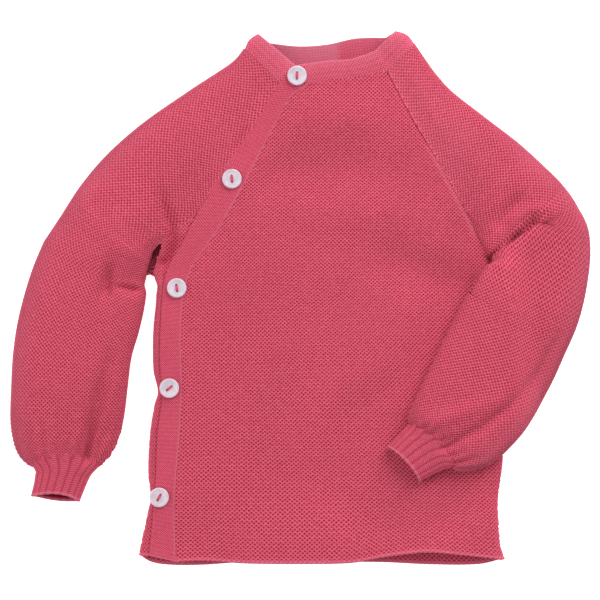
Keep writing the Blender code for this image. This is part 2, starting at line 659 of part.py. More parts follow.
def wall(name, turns, levels, place, inner=None, closed_below=None, relief=None,
         finer_below=None):
    """A knitted panel as a closed wall: a grid laid out row by row, then thickened inwards.

    turns and levels are the grid's columns and rows. Rows up to closed_below join into
    rings. inner places the inner face; where it gives nothing, the inner face lies one
    wall below the outer one.
    """
    mesh = bmesh.new()
    last_column = len(turns) - 1
    last_row = len(levels) - 1
    bmesh.ops.create_grid(mesh, x_segments=last_column, y_segments=last_row, size=0.5)
    if finer_below is not None:
        split_columns(mesh, last_row, levels, *finer_below)
    inside = mesh.verts.layers.float_vector.new("inside")
    grid = {}
    for vert in mesh.verts:
        across = (vert.co.x + 0.5) * last_column
        along_rows = (vert.co.y + 0.5) * last_row
        turn = between(turns, across)
        level = between(levels, along_rows)
        grid[vert] = (turn, level)
        vert.co = place(turn, level)
    if closed_below is not None:
        close_rings(mesh, grid, turns, closed_below)
        grid = {vert: grid[vert] for vert in mesh.verts}
    bmesh.ops.recalc_face_normals(mesh, faces=mesh.faces[:])
    face_outwards(mesh)
    mesh.normal_update()
    for vert in mesh.verts:
        below = inner(*grid[vert]) if inner else None
        vert[inside] = below or vert.co - vert.normal * WALL
    raised = {vert: vert.normal * relief(*grid[vert]) for vert in grid} if relief else {}
    copied = bmesh.ops.extrude_face_region(mesh, geom=mesh.faces[:], use_keep_orig=True)
    for item in copied["geom"]:
        if isinstance(item, bmesh.types.BMVert):
            item.co = item[inside]
    for vert, step in raised.items():
        vert.co += step
    bmesh.ops.recalc_face_normals(mesh, faces=mesh.faces[:])
    bmesh.ops.scale(mesh, vec=(MM, MM, MM), verts=mesh.verts[:])
    return finish(name, mesh)


def between(values, place):
    """Value at a place between two of a list's entries."""
    low = min(int(place + 1e-4), len(values) - 1)
    share = place - low
    if share < 1e-4:
        return values[low]
    return blend(values[low], values[low + 1], share)


def split_columns(mesh, last_row, levels, level, parts):
    """Cut the columns of the lowest rows into narrower ones, for gathers."""
    rows = [k for k, value in enumerate(levels) if value <= level]
    top = (rows[-1] / last_row) - 0.5 + 1e-4
    edges = [edge for edge in mesh.edges
             if abs(edge.verts[0].co.y - edge.verts[1].co.y) < 1e-6 and edge.verts[0].co.y < top]
    bmesh.ops.subdivide_edges(mesh, edges=edges, cuts=parts - 1, use_grid_fill=True)


def close_rings(mesh, grid, turns, level):
    """Join the first and last column of the rows up to a level."""
    first = {}
    for vert, (turn, at) in grid.items():
        if turn == turns[0] and at <= level:
            first[round(at, 6)] = vert
    pairs = {vert: first[round(at, 6)] for vert, (turn, at) in grid.items()
             if turn == turns[-1] and at <= level}
    bmesh.ops.weld_verts(mesh, targetmap=pairs)


def face_outwards(mesh):
    """Turn the sheet's faces so that they look away from the garment's inside."""
    highest = max(mesh.faces, key=lambda face: face.calc_center_median().z)
    lowest = min(mesh.faces, key=lambda face: face.calc_center_median().z)
    height = highest.calc_center_median().z - lowest.calc_center_median().z
    flat_back = highest.calc_center_median().z < RIGHT_ARMPIT_HEIGHT + 1 and height > 0
    wrong = highest.normal.z < 0
    if flat_back:
        wrong = lowest.normal.z > 0
    if wrong:
        bmesh.ops.reverse_faces(mesh, faces=mesh.faces[:])


def finish(name, mesh):
    """Make the named object from a mesh in metres."""
    data = bpy.data.meshes.new(name)
    mesh.to_mesh(data)
    mesh.free()
    data.shade_smooth()
    data.set_sharp_from_angle(angle=math.radians(SHARP_ANGLE))
    piece = bpy.data.objects.new(name, data)
    bpy.context.scene.collection.objects.link(piece)
    return piece


def material(name, colour, roughness, metallic=0.0):
    """A plain finish: colour, roughness, metal or not."""
    made = bpy.data.materials.new(name)
    made.use_nodes = True
    shader = made.node_tree.nodes["Principled BSDF"]
    shader.inputs["Base Color"].default_value = (*colour, 1.0)
    shader.inputs["Roughness"].default_value = roughness
    shader.inputs["Metallic"].default_value = metallic
    made.diffuse_color = (*colour, 1.0)
    return made


# ---------------------------------------------------------------- the pieces

def body_inner(panel, point, left_sign, right_sign, up):
    """Inner face of a body panel on the seams, where it must meet its neighbours' faces.

    Side folds go in sideways, the armpit towards the neck, raglans and neck straight in.
    """
    def inner(index, level):
        ends = {0: left_sign, panel.columns: right_sign}
        sign = ends.get(index)
        outer = point(index, level)
        if sign is not None and level < 1:
            return outer - Vector((sign * WALL, 0, 0))
        if sign is not None and level == 1:
            return armpit_point(outer, outer.z, WALL)
        if index in ends or level > LAST_FREE_LEVEL:
            return outer - Vector((0, 0, up * WALL))
        return None
    return inner


def body_wall(name, panel, point, left_sign, right_sign, up, cloth):
    """One of the body's panels."""
    neck_length = panel.left(2).y - panel.left(1).y
    levels = trimmed(body_levels(), end_length=neck_length)
    piece = wall(name, list(range(panel.columns + 1)), levels, point,
                 body_inner(panel, point, left_sign, right_sign, up))
    piece.data.materials.append(cloth)


def make_placket(cloth):
    """The slanted button band, beside the front's edge; its wall goes straight down."""
    levels = trimmed(body_levels(), end_length=PLACKET.left(2).y - PLACKET.left(1).y)
    down = Vector((0, 0, -WALL))
    piece = wall("placket", list(range(PLACKET_COLUMNS + 1)), levels, placket_point,
                 lambda index, level: placket_point(index, level) + down)
    piece.data.materials.append(cloth)


def seen_from_above(turn):
    """1 on the upper half of a sleeve, 0 on the half that lies flat."""
    below = (turn - 0.5) * 2
    return 1 - ease(min(below, 1 - below) / TOP_FADE) if below > 0 else 1.0


def gather(turn, level):
    """Height of the gathers above the cuff seam."""
    low, high = GATHER_LEVELS
    if not low < level < high:
        return 0.0
    share = ((level - low) / (high - low)) ** GATHER_BULGE
    wave = math.cos(2 * math.pi * GATHERS * turn)
    return GATHER_HEIGHT * math.sin(math.pi * share) * wave * seen_from_above(turn)


def rib(turn, level):
    """Height of the cuff's ribs."""
    wave = 0.5 + 0.5 * math.cos(2 * math.pi * RIBS * turn)
    return RIB_HEIGHT * wave * seen_from_above(turn)


def make_sleeve(name, sleeve, cloth):
    """A sleeve: a closed tube up to the armpit, open between the raglans above it."""
    turns = [k / SLEEVE_COLUMNS for k in range(SLEEVE_COLUMNS + 1)]
    tube = [row.level for row in sleeve.rows if row.level >= 0]
    tube_length = (sleeve.rows[-1].outer[1] - sleeve.rows[0].outer[1])
    cap_length = (sleeve.peak[0][1] - sleeve.rows[-1].outer[1])
    levels = trimmed(tube + raglan_levels(), tube_length, cap_length)
    piece = wall(name, turns, levels, sleeve.point,
                 lambda turn, level: sleeve.point(turn, level, WALL),
                 closed_below=1.0, relief=gather,
                 finer_below=(GATHER_FINE_LEVEL, GATHER_FINENESS))
    piece.data.materials.append(cloth)


def make_cuff(name, sleeve, cloth):
    """A ribbed tube below the cuff seam."""
    columns = RIBS * RIB_COLUMNS
    turns = [k / columns for k in range(columns + 1)]
    length = sleeve.rows[2].inner[1] - sleeve.rows[0].inner[1]
    levels = trimmed([-1 + k / CUFF_ROWS for k in range(CUFF_ROWS + 1)], end_length=length)
    piece = wall(name, turns, levels, sleeve.point,
                 lambda turn, level: sleeve.point(turn, level, WALL),
                 closed_below=1.0, relief=rib)
    piece.data.materials.append(cloth)


def make_neckband(cloth):
    """One band round the neck: from the front's mitre over the left shoulder, along the
    back and over the right shoulder to the end that lies under the front."""
    front_inner = body_inner(FRONT, front_point, None, None, 1)
    back_inner = body_inner(BACK, back_point, None, None, -1)
    under_inner = body_inner(UNDER_FRONT, under_front_point, None, None, 1)
    left_inner = (lambda turn, level: SLEEVE_LEFT.point(turn, level, WALL))
    right_inner = (lambda turn, level: SLEEVE_RIGHT.point(turn, level, WALL))
    sleeve_turns = [k / SLEEVE_COLUMNS for k in range(1, SLEEVE_COLUMNS + 1)]
    back_turns = [1 - turn for turn in sleeve_turns]
    stations = [(front_point, front_inner, k) for k in range(FRONT_COLUMNS + 1)]
    stations += [(SLEEVE_LEFT.point, left_inner, turn) for turn in sleeve_turns]
    stations += [(back_point, back_inner, k) for k in range(BACK_COLUMNS - 1, -1, -1)]
    stations += [(SLEEVE_RIGHT.point, right_inner, turn) for turn in back_turns]
    stations += [(under_front_point, under_inner, k) for k in range(1, UNDER_COLUMNS + 1)]
    band_height = RIGHT_FRONT_BAND_TOP[1] - RIGHT_RAGLAN[-1].y
    levels = trimmed([2 + k / BAND_ROWS for k in range(BAND_ROWS + 1)], start_length=band_height)

    def place(station, level):
        outer, _, at = stations[round(station)]
        return outer(at, level)

    def inner(station, level):
        _, below, at = stations[round(station)]
        return below(at, level)

    piece = wall("neckband", list(range(len(stations))), levels, place, inner)
    piece.data.materials.append(cloth)


def button_profile():
    """Half section of a button, from the middle of its top round to the middle below."""
    flat = BUTTON_RADIUS - BUTTON_RIM
    top = BUTTON_THICKNESS
    return (
        (0.0, top - BUTTON_DISH),
        (flat - BUTTON_EDGE, top - BUTTON_DISH),
        (flat, top),
        (BUTTON_RADIUS - BUTTON_EDGE, top),
        (BUTTON_RADIUS, top - BUTTON_EDGE),
        (BUTTON_RADIUS, BUTTON_BACK_CHAMFER),
        (BUTTON_RADIUS - BUTTON_BACK_INSET, 0.0),
        (0.0, 0.0),
    )


def make_buttons(shell):
    """Turned discs with two holes, each square to the band under it."""
    for number, button in enumerate(BUTTONS, start=1):
        name = f"button_{number}"
        mesh = bmesh.new()
        profile = [mesh.verts.new((r, 0, z)) for r, z in button_profile()]
        edges = [mesh.edges.new(pair) for pair in zip(profile, profile[1:])]
        bmesh.ops.spin(mesh, geom=profile + edges, cent=(0, 0, 0), axis=(0, 0, 1),
                       angle=math.tau, steps=BUTTON_SIDES, use_merge=True)
        bmesh.ops.remove_doubles(mesh, verts=mesh.verts[:], dist=0.0001)
        bmesh.ops.recalc_face_normals(mesh, faces=mesh.faces[:])
        bmesh.ops.transform(mesh, matrix=button_frame(button), verts=mesh.verts[:])
        piece = finish(name, mesh)
        piece.data.materials.append(shell)
        cut_holes(piece, button)


def button_frame(button):
    """Where a button sits, in metres: on the band, square to it, threads turned."""
    step = BUTTON_SEAT_REACH
    z = front_height(button.x, min(button.y, LEFT_RAGLAN[-1].y))
    slope_x = (front_height(button.x + step, button.y) - front_height(button.x - step, button.y))
    slope_y = (front_height(button.x, button.y + step) - front_height(button.x, button.y - step))
    normal = Vector((-slope_x, -slope_y, 2 * step)).normalized()
    turn = Vector((0, 0, 1)).rotation_difference(normal).to_matrix().to_4x4()
    spin = Matrix.Rotation(math.radians(button.thread_angle), 4, "Z")
    lift = BUTTON_GAP + BUTTON_SEAT_SAG
    seat = Vector((button.x, button.y, z)) + normal * lift
    return Matrix.Diagonal((MM, MM, MM, 1)) @ Matrix.Translation(seat) @ turn @ spin


def cut_holes(piece, button):
    """Drill the two thread holes."""
    frame = button_frame(button)
    mesh = bmesh.new()
    for side in (-1, 1):
        shift = Matrix.Translation((side * BUTTON_HOLE_SPACING / 2, 0, BUTTON_THICKNESS / 2))
        bmesh.ops.create_cone(mesh, cap_ends=True, segments=HOLE_SIDES,
                              radius1=BUTTON_HOLE_RADIUS,
                              radius2=BUTTON_HOLE_RADIUS, depth=BUTTON_THICKNESS * 2,
                              matrix=frame @ shift)
    cutter = finish(piece.name + "_drill", mesh)
    cutter.hide_render = True
    cutter.display_type = "WIRE"
    cut = piece.modifiers.new("holes", "BOOLEAN")
    cut.operation = "DIFFERENCE"
    cut.solver = "EXACT"
    cut.object = cutter


def main():
    for old in list(bpy.data.objects):
        bpy.data.objects.remove(old)
    knit = material("merino_knit", (0.60, 0.082, 0.130), 0.85)
    fine_knit = material("merino_fine_knit", (0.64, 0.100, 0.155), 0.85)
    shell = material("shell_button", (0.78, 0.72, 0.76), 0.28)
    body_wall("back", BACK, back_point, -1, 1, -1, knit)
    body_wall("under_front", UNDER_FRONT, under_front_point, -1, None, 1, knit)
    body_wall("front", FRONT, front_point, None, 1, 1, knit)
    make_placket(fine_knit)
    make_sleeve("sleeve_right", SLEEVE_RIGHT, knit)
    make_sleeve("sleeve_left", SLEEVE_LEFT, knit)
    make_cuff("cuff_right", SLEEVE_RIGHT, fine_knit)
    make_cuff("cuff_left", SLEEVE_LEFT, fine_knit)
    make_neckband(fine_knit)
    make_buttons(shell)


main()
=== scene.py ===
"""Knitted finish of a baby's wrap-front jumper that lies flat on a table.

Every panel is laid out again on the form of its solid, stitch by stitch: a grid with two
rows and two columns to a stitch, raised at the loops and sunk between them. Band, cuffs
and neckband are knitted finer, with ribs. Tables are in millimetres, x to the right, y
towards the neck, z up. A row's level is -1 at a cuff's edge, 0 at the hem or a cuff
seam, 1 at the armpit, 2 at the neck seam and 3 at the neckband's free edge.
"""

import math
from collections import namedtuple

import bmesh
import bpy
import numpy as np
from mathutils import Matrix, Vector
from mathutils.bvhtree import BVHTree


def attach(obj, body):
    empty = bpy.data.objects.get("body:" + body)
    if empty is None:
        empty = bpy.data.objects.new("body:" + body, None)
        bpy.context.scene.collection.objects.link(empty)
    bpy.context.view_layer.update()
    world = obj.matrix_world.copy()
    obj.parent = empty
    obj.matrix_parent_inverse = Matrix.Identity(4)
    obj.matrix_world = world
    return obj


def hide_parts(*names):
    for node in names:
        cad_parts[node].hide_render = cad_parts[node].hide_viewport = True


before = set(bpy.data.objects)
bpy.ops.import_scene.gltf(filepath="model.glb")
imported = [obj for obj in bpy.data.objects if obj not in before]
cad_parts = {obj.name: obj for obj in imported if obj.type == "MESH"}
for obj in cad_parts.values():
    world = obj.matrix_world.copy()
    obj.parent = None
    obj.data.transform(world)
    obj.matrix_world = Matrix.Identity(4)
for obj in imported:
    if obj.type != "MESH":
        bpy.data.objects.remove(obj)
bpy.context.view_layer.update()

bl_info = {
    "name": "Knitted Wrap Jumper",
    "version": (1, 0, 0),
    "blender": (4, 5, 0),
    "location": "3D View > Sidebar > Jumper",
    "description": "Knits the panels, band, cuffs and neckband of a jumper laid flat",
    "category": "Object",
}

MM = 0.001

# Cloth, as in the solids
WALL = 2.0
LAYER_GAP = 0.6         # between the front and the under front
LYING_GAP = 0.5         # between the front and the bent sleeve on it
BUTTON_SEAT = 0.15      # the buttons lie this far above the band
SEAM_LAP = 0.4          # the front runs this far past the right raglan seam

# Heights above the table
FRONT_HEIGHT = 13.5
UNDER_HEIGHT = FRONT_HEIGHT - WALL - LAYER_GAP
PRESSED_HEIGHT = 10.0   # of the front below the bent sleeve
PRESS_REACH = 36.0      # this far from the sleeve's middle line
PRESS_FADE = 24.0       # and over this width it rises again
LEFT_FOLD_ROUNDING = 11.0
LEFT_FOLD_POWER = 2.5   # the left side drops late and then steeply
RIGHT_FOLD_ROUNDING = 7.0
LEAST_ROUNDING = 0.01   # a fold that is sharper is none
RAGLAN_DIP = 0.3        # the right raglan lies this far below the front's top
RAGLAN_RISE = 8.0       # and gets there over this height above the armpit
BACK_RAGLAN_FALL = 7.0  # the back is down on the table over this height
ARMPIT_LIFT = 3.4       # the front's corner is lifted this far into the bent sleeve's armpit
ARMPIT_LIFT_RISE = 1.5

BUTTON_RADIUS = 5.7
BUTTON_THICKNESS = 2.0
HOLE_SPACING = 3.4
HOLE_RADIUS = 0.75
DISH_DEPTH = 0.45
RIM_ROUNDING = 0.7
STRAND_RADIUS = 0.36    # of the yarn through a button
STRAND_RISE = 0.42      # its loops are flattened to this share of a half circle
STRANDS_AT = (-0.34, 0.02, 0.38)

Button = namedtuple("Button", "x y thread_angle")
BUTTONS = (
    Button(-1.7, 129.0, 88.0),
    Button(-39.4, 69.3, 96.0),
    Button(-71.3, 6.1, 98.0),
    Button(-75.6, -51.9, 40.0),
    Button(-81.4, -115.1, 62.0),
)

# Outline tables: the x of an edge at each height y
Edge = namedtuple("Edge", "y x")
LEFT_FOLD = (
    Edge(-149.1, -93.6), Edge(-134.3, -90.5), Edge(-123.8, -88.2), Edge(-115.7, -86.6),
    Edge(-102.4, -88.0), Edge(-78.6, -87.0), Edge(-62.0, -84.4), Edge(-54.2, -82.4),
    Edge(-43.0, -84.8), Edge(-27.0, -85.3), Edge(-13.6, -84.7), Edge(-1.0, -83.4),
    Edge(6.0, -83.8), Edge(13.9, -87.3),
)
RIGHT_FOLD = (
    Edge(-151.4, 118.9), Edge(-144.7, 116.6), Edge(-127.3, 115.1), Edge(-116.9, 114.8),
    Edge(-105.3, 116.3), Edge(-90.8, 117.7), Edge(-59.0, 117.0), Edge(-12.5, 114.0),
    Edge(24.1, 109.6),
)
LEFT_RAGLAN = (
    Edge(13.9, -87.3), Edge(21.2, -85.3), Edge(31.6, -80.9), Edge(39.2, -72.5),
    Edge(46.6, -62.0), Edge(58.3, -54.6), Edge(69.9, -47.6), Edge(89.0, -34.9),
    Edge(104.1, -24.8), Edge(116.3, -17.8), Edge(125.6, -12.6),
)
RIGHT_RAGLAN = (
    Edge(24.1, 109.6), Edge(50.2, 96.3), Edge(77.4, 81.2), Edge(104.7, 65.0), Edge(132.0, 50.5),
)
BACK_LEFT_RAGLAN = (Edge(13.9, -87.3), Edge(50.0, -70.0), Edge(100.0, -40.0), Edge(138.3, -18.6))
BACK_RIGHT_RAGLAN = (Edge(24.1, 109.6), Edge(60.0, 93.0), Edge(105.0, 69.0), Edge(140.7, 52.2))
PLACKET_LEFT = (
    Edge(-148.8, -87.8), Edge(-125.6, -85.3), Edge(-105.3, -83.8), Edge(-76.3, -82.6),
    Edge(-56.0, -79.9), Edge(-38.6, -81.4), Edge(-13.6, -81.0), Edge(7.8, -79.3),
    Edge(18.6, -76.0), Edge(31.6, -68.6), Edge(46.3, -61.0), Edge(69.3, -47.0),
    Edge(89.6, -34.0), Edge(104.1, -24.2), Edge(116.3, -17.2), Edge(125.2, -11.9),
    Edge(130.8, -7.0), Edge(135.4, -1.7),
)
PLACKET_RIGHT = (
    Edge(-152.5, -71.9), Edge(-116.9, -72.5), Edge(-76.3, -69.6), Edge(-50.2, -68.4),
    Edge(-21.2, -69.0), Edge(2.0, -67.3), Edge(16.7, -63.1), Edge(27.8, -56.1),
    Edge(40.7, -46.8), Edge(68.2, -31.3), Edge(86.1, -22.0), Edge(105.0, -12.1),
    Edge(116.9, -5.0), Edge(122.7, 3.5),
)
UNDER_RIGHT = (
    Edge(-150.0, -52.0), Edge(-60.0, -48.0), Edge(0.0, -47.0), Edge(30.0, -38.0),
    Edge(68.2, -18.0), Edge(105.0, -4.0), Edge(118.6, -4.6),
)

# Free ends of the neckband, where the rows above each corner of the neck stop
MITRE_TOP = (-1.7, 135.4)
UNDER_BAND_END = (4.1, 128.5)
RIGHT_FRONT_BAND_TOP = (42.9, 143.3)
RIGHT_BACK_BAND_TOP = (49.9, 152.0)
LEFT_FRONT_BAND_TOP = (-3.5, 136.0)
LEFT_BACK_BAND_TOP = (-18.6, 149.0)

# How far a row bows towards the neck, by its place across (0 left, 1 right)
Bow = namedtuple("Bow", "across rise")
BACK_HEM_BOW = (
    Bow(0.0, 0.0), Bow(0.03, -4.0), Bow(0.08, -5.7), Bow(0.17, -5.6), Bow(0.29, -3.7),
    Bow(0.44, -3.3), Bow(0.66, -2.9), Bow(0.8, -3.9), Bow(0.93, -3.4), Bow(1.0, 0.0),
)
FRONT_HEM_BOW = (
    Bow(0.0, 0.0), Bow(0.09, 0.5), Bow(0.21, -1.2), Bow(0.38, -1.7), Bow(0.53, -1.3),
    Bow(0.62, 1.6), Bow(0.7, 3.7), Bow(0.77, 4.6), Bow(0.86, 3.0), Bow(1.0, 0.0),
)
BACK_NECK_BOW = (Bow(0.0, 0.0), Bow(0.3, -4.0), Bow(0.65, -2.0), Bow(1.0, 0.0))
BACK_BAND_BOW = (
    Bow(0.0, 0.0), Bow(0.26, -2.7), Bow(0.5, -2.4), Bow(0.72, 0.2), Bow(0.85, 0.5), Bow(1.0, 0.0),
)
FRONT_NECK_BOW = (Bow(0.0, 0.0), Bow(0.12, 1.6), Bow(0.35, 0.8), Bow(0.7, -0.6), Bow(1.0, 0.0))
FRONT_BAND_BOW = (Bow(0.0, 0.0), Bow(0.4, -0.8), Bow(0.72, -2.0), Bow(1.0, 0.0))

# Seam heights by the height y: where the front and the back meet at a side fold, and
# where a sleeve meets the front along its raglan
SeamHeight = namedtuple("SeamHeight", "y z")
LEFT_ARMPIT_HEIGHT = 4.5
RIGHT_ARMPIT_HEIGHT = 6.6
RIGHT_SIDE_HEIGHTS = (
    SeamHeight(-151.4, 6.0), SeamHeight(-20.0, 6.0), SeamHeight(24.1, RIGHT_ARMPIT_HEIGHT),
)
LEFT_RAGLAN_HEIGHTS = (
    SeamHeight(13.9, 4.5), SeamHeight(19.5, 4.6), SeamHeight(27.0, 5.6),
    SeamHeight(33.0, 8.2), SeamHeight(40.0, 10.4), SeamHeight(46.0, UNDER_HEIGHT),
    SeamHeight(130.0, UNDER_HEIGHT),
)

# The right sleeve lies flush with the under front above the armpit's slit, and then
# with the band
SLEEVE_SEAM_HEIGHTS = (
    SeamHeight(13.9, 4.5), SeamHeight(19.5, 5.6), SeamHeight(25.0, 7.6),
    SeamHeight(30.0, 9.6), SeamHeight(35.0, 10.6), SeamHeight(40.0, UNDER_HEIGHT),
    SeamHeight(46.0, 11.0), SeamHeight(52.0, 12.0), SeamHeight(60.0, 12.8),
    SeamHeight(70.0, 13.1), SeamHeight(130.0, 13.1),
)
BAND_LAP = 1.0          # its edge runs this far under the band
BAND_LAP_FROM = 40.0    # from this height y on
BAND_LAP_FADE = 8.0

# Sleeves: each row's inner and outer fold, its heights above what it lies on, and how
# far it rests on the front (1) or beside it on the table (0)
Row = namedtuple("Row", "level inner outer inner_fold outer_fold crown crispness resting",
                 defaults=(1.0,))
RIGHT_SLEEVE = (
    Row(-1.0, (-128.2, -118.0), (-156.3, -114.6), 5.2, 5.2, 11.3, 2.2),
    Row(-0.3, (-122.0, -103.5), (-154.0, -103.0), 5.6, 5.6, 13.2, 2.2),
    Row(0.0, (-118.0, -98.8), (-155.2, -97.8), 6.0, 6.0, 14.2, 2.2),
    Row(0.04, (-110.6, -91.0), (-162.2, -91.0), 7.0, 7.0, 15.2, 2.2),
    Row(0.1, (-105.2, -80.6), (-165.9, -81.0), 8.0, 8.0, 16.4, 2.3),
    Row(0.2, (-102.2, -68.2), (-167.6, -69.0), 8.5, 8.5, 18.2, 2.3),
    Row(0.35, (-100.2, -51.9), (-167.0, -51.9), 8.5, 8.5, 20.0, 2.3),
    Row(0.5, (-98.0, -34.5), (-165.8, -33.5), 8.5, 8.5, 20.0, 2.3),
    Row(0.65, (-93.6, -19.0), (-163.0, -13.6), 8.0, 8.5, 19.5, 2.3),
    Row(0.8, (-90.4, -4.4), (-158.4, 5.5), 7.5, 8.5, 19.0, 2.3),
    Row(0.9, (-89.0, 5.5), (-154.0, 19.4), 6.5, 8.2, 18.5, 2.3),
    Row(1.0, (-87.3, 13.9), (-148.5, 32.8), 4.5, 8.0, 17.5, 2.3),
)
LEFT_SLEEVE = (
    Row(-1.0, (50.8, -85.6), (69.3, -106.2), 4.2, 4.2, 9.3, 2.2),
    Row(-0.3, (58.6, -76.8), (81.0, -100.2), 4.5, 4.5, 10.9, 2.2),
    Row(0.0, (62.4, -72.2), (88.0, -98.2), 4.8, 4.8, 12.2, 2.2),
    Row(0.05, (62.8, -69.0), (94.0, -99.3), 5.2, 5.2, 12.8, 2.2),
    Row(0.12, (63.8, -65.0), (102.0, -98.2), 5.6, 5.6, 13.4, 2.3),
    Row(0.22, (67.3, -57.1), (112.8, -93.0), 6.0, 6.0, 14.0, 2.4),
    Row(0.34, (74.2, -42.6), (127.0, -78.6), 6.0, 6.5, 14.5, 2.5),
    Row(0.405, (78.7, -33.2), (134.5, -68.4), 6.0, 7.0, 14.8, 2.5),
    Row(0.47, (83.5, -23.5), (141.2, -57.3), 6.0, 7.5, 15.0, 2.5),
    Row(0.525, (88.2, -13.8), (147.3, -46.2), 6.0, 7.8, 15.2, 2.5),
    Row(0.58, (93.4, -3.8), (152.5, -34.5), 6.0, 8.0, 15.5, 2.5),
    Row(0.67, (102.7, 12.4), (160.2, -15.6), 5.6, 8.2, 16.0, 2.6),
    Row(0.74, (105.8, 16.6), (164.7, 1.5), 5.0, 8.4, 15.5, 2.8),
    Row(0.80, (107.8, 19.2), (167.4, 18.9), 4.6, 8.5, 15.5, 3.0, 0.97),
    Row(0.85, (110.9, 20.4), (167.8, 31.6), 4.6, 8.5, 16.0, 3.0, 0.70),
    Row(0.885, (111.4, 21.4), (166.6, 40.3), 4.6, 8.5, 16.8, 3.0, 0.40),
    Row(0.91, (111.5, 22.2), (164.2, 46.5), 5.0, 8.5, 17.4, 3.0, 0.20),
    Row(0.93, (111.4, 22.9), (161.3, 51.5), 5.6, 8.4, 17.8, 3.0, 0.08),
    Row(0.95, (111.1, 23.5), (158.8, 56.0), 6.2, 8.3, 17.8, 3.0, 0.0),
    Row(0.97, (110.6, 23.9), (155.9, 60.4), 6.5, 8.2, 17.5, 2.8, 0.0),
    Row(1.0, (109.6, 24.1), (153.1, 64.1), RIGHT_ARMPIT_HEIGHT, 8.0, 17.0, 2.5, 0.0),
)
# Above the armpit a row runs from the raglan over the shoulder's fold to the back raglan
Cap = namedtuple("Cap", "level outer_fold crown crispness")
RIGHT_CAP = (
    Cap(1.0, 8.0, 17.5, 2.3), Cap(1.3, 7.5, 16.5, 2.2), Cap(1.7, 6.6, 15.0, 2.2),
    Cap(2.0, 6.0, 13.2, 2.2), Cap(3.0, 5.6, 12.0, 2.2),
)
LEFT_CAP = (
    Cap(1.0, 8.0, 17.0, 2.5), Cap(1.3, 7.5, 16.4, 2.4), Cap(1.7, 6.6, 15.2, 2.3),
    Cap(2.0, 6.2, 14.2, 2.2), Cap(3.0, 5.8, 13.4, 2.2),
)
RIGHT_SHOULDER = (
    (-148.5, 32.8), (-139.2, 46.7), (-127.0, 65.3), (-111.4, 83.8), (-90.5, 102.4),
    (-63.2, 120.9), (-44.7, 132.5), (-37.1, 138.3), (-32.0, 144.9),
)
LEFT_SHOULDER = (
    (153.1, 64.1), (147.9, 69.9), (128.2, 88.5), (106.7, 104.7), (88.2, 119.8),
    (78.9, 130.2), (72.5, 138.9), (66.1, 148.2),
)
RIGHT_NECK_PEAK = ((-32.0, 144.9), (-29.2, 149.6), (-24.4, 153.9))
LEFT_NECK_PEAK = ((66.1, 148.2), (62.0, 152.4), (55.4, 155.5))

# What the bent sleeve lies on
FOREARM_LINE = ((134.0, 16.5), (123.5, -18.3), (106.1, -51.9), (88.7, -79.2), (59.7, -95.4))
LIFT_OVERHANG = 5.0         # it stays up until this far past the front's edge
LIFT_FADE = 20.0            # and sinks to the table over this width
FLAT_CRISPNESS = 5.0        # underside: flat with rounded folds

# Folds: a line, its depth, its half width to the left and to the right of the
# line, and the shares of its length over which it begins and ends. A negative depth is a
# ridge.
Fold = namedtuple("Fold", "points depth width right_width start_taper end_taper")
FRONT_FOLDS = (
    Fold(((-14.0, 104.0), (20.0, 106.0), (56.0, 104.0)), -2.4, 14.0, 14.0, 0.2, 0.5),
    Fold(((-32.0, 72.0), (14.0, 75.0), (62.0, 72.0)), 2.4, 13.0, 13.0, 0.15, 0.4),
    Fold(((-16.0, 50.0), (30.0, 49.0), (74.0, 44.0)), -1.2, 12.0, 12.0, 0.4, 0.5),
    Fold(((104.0, 6.0), (92.0, 7.0), (78.0, 11.0), (56.0, 20.0), (30.0, 27.0)),
         4.0, 16.0, 14.0, 0.05, 0.9),
    Fold(((60.0, -112.0), (10.0, -106.0), (-40.0, -112.0)), 1.2, 18.0, 18.0, 0.5, 0.5),
)
ARMPIT_FOLDS = (
    Fold(((-81.0, 16.0), (-76.0, 23.0), (-73.0, 33.9), (-74.4, 42.6), (-78.9, 54.2),
          (-81.5, 66.0)), 3.4, 2.8, 2.8, 0.1, 0.35),
    Fold(((-77.5, 30.0), (-79.5, 42.0), (-84.0, 56.0)), -1.0, 3.2, 3.2, 0.4, 0.5),
    Fold(((-38.5, 84.5), (-29.0, 100.0)), 1.5, 1.7, 1.7, 0.3, 0.3),
)
RIGHT_SLEEVE_FOLDS = (
    Fold(((-89.0, 4.8), (-98.0, 5.4), (-109.0, 7.4)), 2.8, 5.0, 11.0, 0.02, 0.6),
    Fold(((-88.0, 4.6), (-98.0, 5.2), (-108.0, 7.0)), 3.4, 1.7, 2.0, 0.02, 0.7),
    Fold(((-109.6, 22.0), (-111.6, 10.5), (-113.4, -3.0)), 6.2, 4.0, 3.6, 0.6, 0.5),
    Fold(((-90.0, 24.0), (-101.0, 28.0), (-110.0, 34.0)), -1.4, 8.0, 8.0, 0.3, 0.6),
    Fold(((-110.0, -38.6), (-116.5, -58.9), (-121.0, -76.3), (-124.0, -95.0)),
         4.2, 3.6, 3.6, 0.9, 0.08),
    Fold(((-107.5, -28.0), (-112.5, -46.0), (-117.5, -64.0)), 1.5, 4.5, 4.5, 0.4, 0.4),
    Fold(((-118.0, -66.0), (-121.5, -80.0), (-124.5, -97.0)), 1.3, 2.6, 2.6, 0.6, 0.05),
    Fold(((-104.0, -40.0), (-110.0, -60.0), (-113.0, -80.0)), -1.4, 5.0, 5.0, 0.6, 0.4),
    Fold(((-132.0, 48.0), (-140.4, 16.0), (-143.0, -8.0)), 1.4, 4.0, 4.0, 0.5, 0.6),
)
